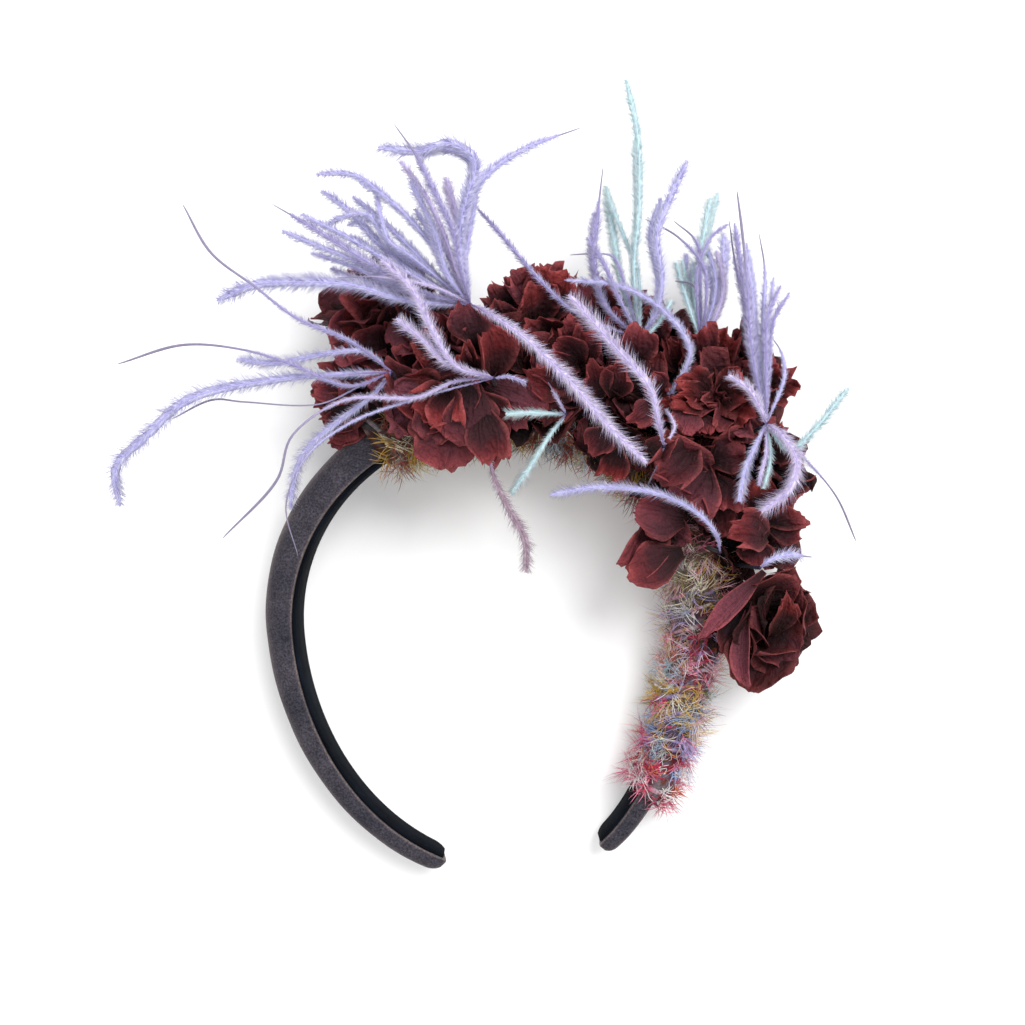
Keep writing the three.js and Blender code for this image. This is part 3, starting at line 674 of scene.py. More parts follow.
# The dyes that lie together up to an angle in degrees along the arch.
YARN_ZONES = table("""
-8 cream,grey,gold,dark,cream,rust
14 gold,olive,cream,dark,rust,cream
34 grey,dark,olive,rust,steel,cream
50 gold,mustard,olive,rust,dark,crimson
66 blush,rust,pink,dark,cream,rust
84 pink,blush,cream,rust,olive,dark
92 olive,cream,mustard,dark,sky,grey
99 pink,blush,mustard,plum,white,lilac
106 crimson,orange,pink,gold,crimson,blush
112 lilac,white,sky,steel,blush,mustard
119 olive,mustard,cream,lilac,blue,white
125 blue,lilac,magenta,mustard,blush,sky
131 crimson,pink,sky,cream,white,orange
150 pink,magenta,crimson,blush,pink,white
""")
ZONE_BLUR = radians(4)
TUFTS_PER_RADIAN = 26
TUFTS_ROUND = 5


def yarn_tints(angles, turns, draw, stray=0.3):
    """A dye for each hair or cord point: neighbours in one small tuft mostly share theirs."""
    ends = radians(np.array([row[0] for row in YARN_ZONES]))
    palette = np.array([[colour(YARN_DYES[name]) for name in row[1]] for row in YARN_ZONES])
    zone = np.searchsorted(ends, angles + draw.normal(0, ZONE_BLUR, len(angles)))
    zone = np.clip(zone, 0, len(YARN_ZONES) - 1)
    tuft = np.floor(angles * TUFTS_PER_RADIAN + 0.4 * np.sin(turns * 3)) * 17
    tuft = tuft + np.floor((turns + angles * 9) / TAU * TUFTS_ROUND) * 29
    dyes = palette.shape[1]
    pick = np.mod(np.abs(np.sin(tuft * 12.9898) * 43758.5453).astype(int), dyes)
    pick = np.where(draw.random(len(angles)) < stray, draw.integers(0, dyes, len(angles)), pick)
    light = draw.uniform(1.0, 1.6, (len(angles), 1))
    rgb = np.clip(palette[zone, pick][:, :3] * light, 0, 1)
    return np.concatenate([rgb, np.ones((len(angles), 1))], axis=1)


def yarn_material(name, dark, soft):
    surface = Surface(name)
    tint = surface.mark("tint", "Color")
    fluff = surface.noise(900, 3.0, 0.65)
    shade = surface.ramp(fluff, [(0.3, dark), (0.7, "#ffffff")])
    base = surface.blend(0.7, tint, shade, "MULTIPLY")
    return surface.finish(base, 0.85, 0.2, surface.bump(fluff, 0.5, 0.3), (soft, 0.5, "#ffffff"))


YARN_CORE = yarn_material("yarn_core", "#3a302c", 0.1)
YARN_HAIR = yarn_material("yarn_hair", "#c4bcb8", 0.15)
print("dyes:", len(YARN_DYES), "in", len(YARN_ZONES), "zones")

# %% Wind the yarn
SLEEVE_SHADE = [0.2, 0.17, 0.19, 1]
CORD_SHADE = [0.6, 0.55, 0.6, 1]
SLEEVE_SINK = 0.14
LUMP_HEIGHT = 0.5
SLEEVE_STEPS = 180
SLEEVE_SIDES = 36
CORD_COUNT = 4
CORD_TURNS = 15
CORD_RADIUS = 0.62
CORD_SINK = 0.6
CORD_STEPS_PER_TURN = 24
CORD_SIDES = 5


def sleeve_body():
    angles = np.linspace(YARN_START, YARN_END, SLEEVE_STEPS)[:, None]
    turns = (np.arange(SLEEVE_SIDES) / SLEEVE_SIDES * TAU)[None]
    lumps = ripple(angles, (0.5, 60, turns), (0.35, 41, -turns * 2), (0.25, 97, turns * 5))
    points = yarn_surface(angles, turns, SLEEVE_SHARE - SLEEVE_SINK, lumps * LUMP_HEIGHT)
    return points.reshape(-1, 3), sweep_faces(SLEEVE_STEPS, SLEEVE_SIDES)


def yarn_pieces():
    draw = np.random.default_rng(21)
    heap = Heap()
    points, faces = sleeve_body()
    near = np.repeat(np.linspace(YARN_START, YARN_END, SLEEVE_STEPS), SLEEVE_SIDES)
    turns = np.tile(np.arange(SLEEVE_SIDES) / SLEEVE_SIDES * TAU, SLEEVE_STEPS)
    heap.add(points, faces, tint=yarn_tints(near, turns, draw) * SLEEVE_SHADE)
    for cord in range(CORD_COUNT):
        steps = CORD_TURNS * CORD_STEPS_PER_TURN
        share = np.linspace(0.004, 0.996, steps)
        angle = mix(YARN_START, YARN_END, share)
        wander = ripple(share, (0.022, 37, cord * 2.1), (0.012, 91, cord))
        turn = share * CORD_TURNS * TAU + cord * TAU / CORD_COUNT + wander * 10
        rise = ripple(share, (0.35, 143, cord * 1.7)) - CORD_SINK
        path = yarn_surface(np.clip(angle + wander, YARN_START, YARN_END), turn, SLEEVE_SHARE, rise)
        radii = CORD_RADIUS * (1 + ripple(share, (0.35, 211, cord)))
        points, faces = tube(path, radii, CORD_SIDES)
        tint = np.repeat(yarn_tints(angle, turn, draw, 0.5), CORD_SIDES, axis=0) * CORD_SHADE
        heap.add(points, faces, tint=tint)
    return heap.make("wound_yarn", YARN_CORE, "yarn", ["yarn_wrap"])


yarn = yarn_pieces()
print("wound yarn:", len(yarn.data.polygons), "faces")

# %% [markdown]
# The loose hairs are most of what the eye sees of this yarn. They grow in tufts that share their
# direction, some flat and some standing out, and they curl and droop. One kind with wide differences
# would look even, so four kinds are mixed, from short dense fluff to thick curly strands.

# %% The long soft hairs of the yarn
FLOOR_CLEARANCE = 0.25

# Kinds of hair in the yarn, from the short dense fluff to the thick curly strands: tufts, joints, root
# radius, least length, most length, curl, share that stays flat and share on the arch.
YARN_HAIRS = table("""
240 4 0.13 3.5 7 0.35 0.2 0.35
300 4 0.1 6.5 11.5 0.24 0 0.35
300 5 0.18 4.5 9.5 0.55 0.75 0.2
210 5 0.17 7 12 0.5 0.1 1
""")
HAIRS_PER_TUFT = 10
TUFT_SPREAD = 0.014
ARCH_HAIR_END = radians(72)
INNER_TURNS = (radians(70), radians(215))
LEG_TURNS = (radians(-80), radians(260))
LIE_FLAT = 0.82
ROOT_DEPTH = 0.5
DROOP = 0.7


def tufted(tufts, own, size, draw):
    """Seeded numbers that the hairs of a tuft nearly share: the tuft's own and a little per hair."""
    shared = np.repeat(draw.normal(0, 1, (tufts, size)), HAIRS_PER_TUFT, axis=0)
    return shared + own * draw.normal(0, 1, (tufts * HAIRS_PER_TUFT, size))


def hair_paths(angles, turns, lengths, joints, curl, flat, draw):
    """Hairs that leave the sleeve slantwise, droop and curl; flat ones lie along it."""
    tufts = len(angles) // HAIRS_PER_TUFT
    roots = yarn_surface(angles, turns, SLEEVE_SHARE, -ROOT_DEPTH)
    surface = yarn_surface(angles, turns, SLEEVE_SHARE)
    outs = unit(yarn_surface(angles, turns, SLEEVE_SHARE, 1.0) - surface)
    around = unit(yarn_surface(angles, turns + 0.05, SLEEVE_SHARE) - surface)
    along = np.cross(outs, around)
    lying = np.repeat(draw.random((tufts, 1)) < flat, HAIRS_PER_TUFT, axis=0) * LIE_FLAT
    slant = 0.75 * tufted(tufts, 0.3, 1, draw)
    lean = 0.65 * tufted(tufts, 0.3, 1, draw)
    heading = unit(outs * (1 - lying) + around * slant + along * lean)
    bend = unit(tufted(tufts, 0.6, 3, draw) - outs * DROOP) * curl
    bend = bend * draw.uniform(0.4, 1.3, (len(angles), 1))
    paths = [roots]
    for _ in range(joints - 1):
        heading = unit(heading + bend)
        bend = bend + np.cross(heading, bend) * curl
        paths.append(paths[-1] + heading * (lengths / (joints - 1))[:, None])
    paths = np.stack(paths, axis=1)
    paths[..., 2] = np.maximum(paths[..., 2], FLOOR_CLEARANCE)
    return paths


def yarn_hair_piece():
    draw = np.random.default_rng(5)
    heap = Heap()
    for tufts, joints, radius, least, most, curl, flat, arch_share in YARN_HAIRS:
        count = tufts * HAIRS_PER_TUFT
        on_arch = draw.random(tufts) < arch_share
        arch_angles = draw.uniform(YARN_START + 0.02, ARCH_HAIR_END, tufts)
        leg_angles = draw.uniform(ARCH_HAIR_END, YARN_END, tufts)
        angles = np.where(on_arch, arch_angles, leg_angles)
        turns = np.where(on_arch, draw.uniform(*INNER_TURNS, tufts), draw.uniform(*LEG_TURNS, tufts))
        tints = np.repeat(yarn_tints(angles, turns, draw), HAIRS_PER_TUFT, axis=0)
        tints[:, :3] = np.clip(tints[:, :3] * draw.uniform(0.75, 1.3, (count, 1)), 0, 1)
        angles = np.repeat(angles, HAIRS_PER_TUFT) + draw.normal(0, TUFT_SPREAD, count)
        angles = np.clip(angles, YARN_START, YARN_END)
        turns = np.repeat(turns, HAIRS_PER_TUFT) + draw.normal(0, TUFT_SPREAD * 8, count)
        lengths = mix(least, most, draw.random(count) ** 1.5)
        paths = hair_paths(angles, turns, lengths, joints, curl, flat, draw)
        radii = radius * np.linspace(1, 0.55, joints - 1)
        points, faces, tints = hairs(paths, radii, tints)
        heap.add(points, faces, tint=tints)
    return heap.make("yarn_fuzz", YARN_HAIR, "yarn")


yarn_fuzz = yarn_hair_piece()
print("yarn fuzz:", len(yarn_fuzz.data.polygons), "faces")

# %% [markdown]
# ## The dried blooms
# Dried roses and carnations keep thin, stiff petals: rounded at the tip, drawn in at the base, cupped,
# pleated along their veins, and torn and curled at the rim. Blooms packed side by side press on each
# other, so their petals turn up where they meet. Each petal is a fine grid of points bent along an
# arc. Sculpting would give the same look once, but a function gives hundreds of different petals.

# %% The blooms and where they are
# Centre across and down in pixels, its height, then reach, petals, opening and turn in degrees.
BLOOMS = table("""
rose_left 366 330 27 21.5 5 62 20
rose_low_left 352 398 21 17.5 5 72 75
rose_front 446 402 44 18 5 74 10
bloom_upper_left 424 332 35 18.5 5 76 50
bloom_folded 482 352 41 16 4 70 30
bloom_top 534 316 25 20 5 72 65
bloom_centre 566 374 41 18 5 76 5
bloom_top_centre 606 326 28 19 5 76 40
bloom_deep 514 380 37 14 4 70 80
bloom_top_right 655 334 22 17.5 5 74 15
bloom_middle 630 394 39 18 5 76 60
bloom_small_right 696 350 20 16 4 74 25
carnation_top 720 404 38 19 6 78 0
carnation_side 706 480 36 19 6 76 35
bloom_far_right 750 372 19 17.5 5 72 55
bloom_leg 662 526 37 12 4 76 10
bloom_low_right 758 530 25 19 5 74 45
bloom_side_right 768 454 20 18.5 5 72 85
rose_right 766 624 27 20.5 5 66 15
bloom_inner 606 440 38 14.5 5 76 70
""")

# Petals that stand out of a bloom by themselves, under its name: tip, width, cup and curl.
LONE_PETALS = table("""
rose_left
392,256,33 17 0.15 0.05
432,288,30 14 0.2 0.1
334,352,40 18 0.3 0.1
rose_low_left
314,384,27 11 0.25 0.1
331,446,26 12 0.1 0.05
rose_front
468,462,50 22 0.2 0.15
392,384,52 15 0.15 0.1
418,428,50 14 0.2 0.1
bloom_folded
490,322,53 13 0.35 0
bloom_top
514,273,29 12 0.2 0.1
560,269,38 16 0.3 0
494,293,28 11 0.15 0.1
bloom_centre
538,364,52 11 0.3 0.1
bloom_top_centre
640,320,36 14 0.15 0.1
carnation_top
664,410,45 14 0.15 0.1
carnation_side
664,462,48 13 0.4 0
bloom_far_right
722,340,22 11 0.2 0.05
783,398,18 10 0.2 0.1
bloom_leg
627,574,42 12 0.25 0.1
640,512,45 12 0.2 0.1
bloom_low_right
799,514,26 10 0.2 0.1
rose_right
748,690,26 14 0.2 0.05
806,588,28 15 0.3 0.05
784,668,36 16 0.3 0.05
""")
FACE_UP = 0.5
TIE_INSET = radians(3.4)
TIE_STEP = radians(1.7)


def nearest_on_band(place):
    """The point on the middle line of the wound band that is nearest to a place."""
    angles = np.arange(YARN_START + TIE_INSET, YARN_END, TIE_STEP)
    middles = band_point(angles, -pad_size(angles, PAD_THICK) / 2, 0.0)
    return middles[np.argmin(np.linalg.norm(middles - place, axis=1))]


def bloom_frame(bloom):
    """The centre of a bloom, its root on the band, the way it faces, and two ways across it."""
    centre = seen_at(*bloom[1:4])
    root = nearest_on_band(centre)
    axis = unit(unit(centre - root) + np.array([0, 0, FACE_UP]))
    level = unit(np.cross([0.0, 0.0, 1.0], axis))
    return centre, root, axis, level, np.cross(axis, level)


print("blooms:", len(BLOOMS), "lone petals:", len(LONE_PETALS))

# %% One petal as a fine closed sheet
PETAL_THICK = 0.4
PETAL_RIM_SHARE = 0.45
GRIDS = {"fine": (17, 15), "plain": (12, 11)}


def petal_faces(rows, columns):
    """Faces of a front sheet, a back sheet and the rim that closes them."""
    back = rows * columns
    faces = []
    for row in range(rows - 1):
        for column in range(columns - 1):
            low = row * columns + column
            quad = [low, low + 1, low + columns + 1, low + columns]
            faces.append(quad)
            faces.append([corner + back for corner in quad[::-1]])
    rim = list(range(columns))
    rim += [row * columns + columns - 1 for row in range(1, rows)]
    rim += [(rows - 1) * columns + column for column in range(columns - 2, -1, -1)]
    rim += [row * columns for row in range(rows - 2, 0, -1)]
    for place, corner in enumerate(rim):
        after = rim[(place + 1) % len(rim)]
        faces.append([after, corner, corner + back, after + back])
    return faces


PETAL_FACES = {grid: petal_faces(*size) for grid, size in GRIDS.items()}


def waves(values, frequencies, draw):
    """A sum of sine waves with seeded phases, each weaker than the one before."""
    total = np.zeros_like(values)
    for order, frequency in enumerate(frequencies):
        total = total + np.sin(values * frequency + draw.uniform(0, TAU)) / (order + 1)
    return total


def petal_sheet(base, out, up, reach, width, bend, look, grid, draw):
    """The front of a petal. out and up span its arc, and bend gives its angle from up at each end."""
    rows, columns = GRIDS[grid]
    along = np.linspace(0, 1, rows)[:, None]
    across = np.linspace(-1, 1, columns)[None]
    ragged = look["ragged"] * waves(across, (4.1, 9.7, 19.0), draw) * along ** 4
    blunt = look["blunt"] * across ** 2 * along
    far = along * (1 + ragged - blunt)
    neck = look["neck"] + (1 - look["neck"]) * smooth(along, -0.05, 0.6)
    tip = 1 - look["taper"] * np.maximum(along - 0.6, 0) ** 2 / 0.16
    side = across * width / 2 * neck * tip
    side = side + width * 0.03 * waves(along + across, (7.0, 13.0), draw) * along
    side = side + width * draw.uniform(-0.14, 0.14) * along ** 2
    cup = look["cup"] * width * across ** 2 * (0.35 + 0.65 * along)
    hem = draw.uniform(*look["hem"]) * width * across ** 4 * along
    pleats = np.sin(across * look["pleats"] + draw.uniform(0, TAU)) * along * (1.15 - along)
    ruffle = waves(across + along * 0.4, look["ruffles"], draw) * along ** 2.5
    folds = waves(along * 5.0 + across * 1.7, (1.0, 2.3), draw)
    crumple = folds * waves(across * 3.0 - along, (1.0, 2.1), draw) * along
    uneven = look["pleat"] * pleats + look["ruffle"] * ruffle + look["crumple"] * crumple
    height = cup + hem + width * uneven
    curl = draw.uniform(*look["curl"]) * smooth(far, 0.6, 1.05) * (1 + 0.5 * waves(across, (3.0,), draw))
    angle = mix(*bend, far) + curl
    step = np.diff(far, axis=0, prepend=0)
    run_out = reach * np.cumsum(np.sin(angle) * step, axis=0)
    run_up = reach * np.cumsum(np.cos(angle) * step, axis=0)
    third = np.cross(up, out)
    place = base + run_out[..., None] * out + run_up[..., None] * up + side[..., None] * third
    normal = np.sin(angle)[..., None] * up - np.cos(angle)[..., None] * out
    return place + height[..., None] * normal


def petal_solid(sheet):
    """Gives the sheet its thickness, thinner towards its rim."""
    rows, columns, _ = sheet.shape
    normal = unit(np.cross(np.gradient(sheet, axis=1), np.gradient(sheet, axis=0)))
    along = np.linspace(0, 1, rows)[:, None]
    across = np.abs(np.linspace(-1, 1, columns))[None]
    rim = np.maximum(across ** 3, along ** 3)
    thick = PETAL_THICK * (1 - (1 - PETAL_RIM_SHARE) * rim)
    back = sheet - normal * thick[..., None]
    return np.concatenate([sheet.reshape(-1, 3), back.reshape(-1, 3)])


def petal_marks(grid, tone, pale, shade):
    """Where each point of a petal lies along, across and towards the rim, its colours and painted shade."""
    rows, columns = GRIDS[grid]
    along = np.tile(np.repeat(np.linspace(0, 1, rows), columns), 2)
    across = np.tile(np.linspace(-1, 1, columns), 2 * rows)
    marks = {"along": along, "across": across, "rim": np.maximum(np.abs(across) ** 9, along ** 11)}
    for name, value in (("tone", tone), ("pale", pale), ("shade", shade)):
        marks[name] = np.full(len(along), float(value))
    return marks


print("a petal has", {grid: len(faces) for grid, faces in PETAL_FACES.items()}, "faces")

# %% [markdown]
# Colour makes a dried petal believable: nearly black at the base, which is painted shade for the
# heart of the bloom, burgundy in the middle, a lighter dusty red on the rim, partly its dried colour
# and partly painted highlight where the rim catches the light, and a brighter orange-red on some
# petals. A picture painted on every petal would need each of them unwrapped. The marks that were
# stored on the points say where all that is without it, and fine veins run from the base to the rim.

# %% The dried petals' own look
VEINS = 27
HEART_SHADE_COLOUR = "#070305"


def petal_material():
    surface = Surface("dried_petal")
    along = surface.mark("along")
    across = surface.mark("across")
    blotch = surface.noise(150, 4.0, 0.6)
    grit = surface.noise(1500, 3.0, 0.7)
    creases = surface.noise(330, 3.0, 0.5)
    # Both ramps run from near black at a petal's base to its colour at the tip: painted shade for the heart
    # of the bloom.
    place = 0.75 * along + 0.5 * blotch - 0.18
    deep = surface.ramp(place, [(0.18, HEART_SHADE_COLOUR), (0.5, "#1b0810"), (0.76, "#40131c"), (1.0, "#6b2430")])
    warm = surface.ramp(place, [(0.18, "#0d0405"), (0.5, "#380d11"), (0.76, "#7c201e"), (1.0, "#b84138")])
    body = surface.blend(surface.mark("tone"), deep, warm)
    body = surface.blend(surface.mark("pale") * (0.1 + 0.8 * along), body, colour("#965060"))
    # The rim mark paints a lighter dusty red on the rims: partly dried colour, partly painted highlight
    # where they catch the light.
    body = surface.blend(surface.mark("rim") * (1.5 * blotch - 0.25), body, colour("#b4595a"))
    # The shade mark blends towards near black: painted shade on inner rings, fillers and petals deep in the
    # gaps, and a darker colour for the blooms in DARKER.
    body = surface.blend(surface.mark("shade"), body, colour(HEART_SHADE_COLOUR))
    speck = surface.ramp(grit, [(0.3, "#7d6a6c"), (0.62, "#ffffff")])
    base = surface.blend(0.5, body, speck, "MULTIPLY")
    veins = surface.wave(VEINS * across + 8 * blotch)
    ridge = surface.wave(0.5 - creases, "ABSOLUTE")
    height = 0.3 * veins + 0.15 * grit + 1.8 * blotch - 7.0 * ridge
    normal = surface.bump(height, 0.8, 0.5)
    return surface.finish(base, 0.6 + 0.3 * grit, 0.22, normal, (0.08, 0.4, "#d8706a"))


PETAL = petal_material()
print("petal ready:", len(PETAL.node_tree.nodes), "nodes")

# %% [markdown]
# No two dried petals are alike: some are broad and plain, some rough, some frilled. Random numbers
# alone would give an even, made-up crowd. So a few named looks set how ragged, cupped and pleated a
# petal is, rings give each bloom its order, and the random part only varies those.

# %% How petals differ
LOOK_PARTS = "ragged blunt neck taper cup hem curl pleat pleats ruffle ruffles crumple".split()
LOOKS = {name: dict(zip(LOOK_PARTS, parts)) for name, *parts in table("""
smooth 0.03 0.26 0.3 0.22 0.14 -0.1,0.14 -0.3,0.6 0.014 9 0.04 3.2,7.1 0.035
rough 0.07 0.2 0.26 0.25 0.12 -0.2,0.26 -1,1.3 0.03 12 0.08 4.3,9.1 0.06
frilled 0.1 0.06 0.2 0.05 0.08 -0.2,0.2 -1.1,1.3 0.06 14 0.15 6.1,11 0.07
""")}

# Rings of a bloom from the outside in: share of the reach, degrees added to the opening, extra petals,
# half turns, width to reach and painted shade, darker inwards. An open bloom leaves its dark heart empty.
OPEN_RINGS = table("""
0.93 2 0 0 1.04 0.15
0.8 -14 0 0.5 0.95 0.4
0.6 -34 -1 0.2 0.9 0.7
""")
FULL_RINGS = table("""
0.95 2 2 0 0.8 0.1
0.86 -10 4 0.5 0.68 0.15
0.76 -24 4 0.2 0.66 0.3
0.64 -38 3 0.7 0.68 0.4
0.48 -54 1 0.4 0.8 0.6
""")
MARKS_PER_BLOOM = 16
NEIGHBOUR_MARGIN = 14
AROUND_SPREAD = 24
OPEN_SPREAD = 18
REACH_SPREAD = (0.84, 1.16)
INNER_SPREAD = (0.82, 1.15)
WIDTH_SPREAD = (0.85, 1.15)
LEAST_OPENING = 8
AXIS_WOBBLE = 0.2


def look_of(name):
    kind = name.split("_")[0]
    return LOOKS[{"carnation": "frilled", "rose": "smooth"}.get(kind, "rough")]


def ring_petals(bloom, order, ring, rings, draw):
    """Direction, opening, reach and width of each petal in one ring of a bloom."""
    _, _, _, _, reach, count, opening, turn = bloom
    share, tighter, extra, half_turn, wide, _ = rings[ring]
    number = max(count + extra, 3)
    petals = []
    for index in range(number):
        mark = order * MARKS_PER_BLOOM + index
        jitter = np.array([spread(mark, salt) for salt in (1, 2, 3)]) - 0.5
        if ring:
            jitter = draw.uniform(-0.5, 0.5, 3)
        stretch = mix(*(INNER_SPREAD if ring else REACH_SPREAD), jitter[2] + 0.5)
        around = radians(turn + (index + half_turn) / number * 360 + AROUND_SPREAD * jitter[0])
        open_angle = max(opening + tighter + OPEN_SPREAD * jitter[1], LEAST_OPENING)
        size = reach * share * stretch
        petals.append((around, radians(open_angle), size, size * wide * draw.uniform(*WIDTH_SPREAD)))
    return petals


# Places along the inner edge that the petals leave free, as if another bloom lay there: across, down,
# height and reach.
FREE_PLACES = table("""
inner_edge 520 488 30 12
inner_edge 560 486 30 14
inner_edge 598 512 32 14
inner_edge 640 612 24 16
open_yarn 696 594 36 13
""")
FREE_SHARE = 0.8
PRESS_SOFTNESS = 1.3
PRESS_LIFT = 0.6


def reaches_free_place(tip):
    """Whether a petal's tip would lie over one of the places that stay free, seen from above."""
    places = np.array([seen_at(*row[1:4]) for row in FREE_PLACES])
    reaches = np.array([row[4] for row in FREE_PLACES])
    return bool(np.any(np.linalg.norm((places - tip)[:, :2], axis=1) < reaches * FREE_SHARE))


def press_on_neighbours(points, bloom, axis):
    """Petals that meet the next bloom are held on their own side and turn up there."""
    centre = seen_at(*bloom[1:4])
    for other in BLOOMS + FREE_PLACES:
        other_centre = seen_at(*other[1:4])
        away = centre - other_centre
        distance = np.linalg.norm(away)
        if other is bloom or distance > bloom[4] + other[4] + NEIGHBOUR_MARGIN:
            continue
        away = away / distance
        edge = distance * other[4] / (bloom[4] + other[4])
        depth = (points - other_centre) @ away - edge
        kept = PRESS_SOFTNESS * np.logaddexp(0, depth / PRESS_SOFTNESS)
        pushed = (kept - depth)[:, None]
        points = points + away * pushed + axis * pushed * PRESS_LIFT
    return points


print("looks:", ", ".join(LOOKS))

# %% [markdown]
# Some petals give the piece its character: the wide torn cup on the left, the big petal that hangs
# over the inner edge, the folded ones, the light strip beside the last rose. Chance would never give
# these, so they are placed one by one, from the pixel and height of their base to those of their tip.

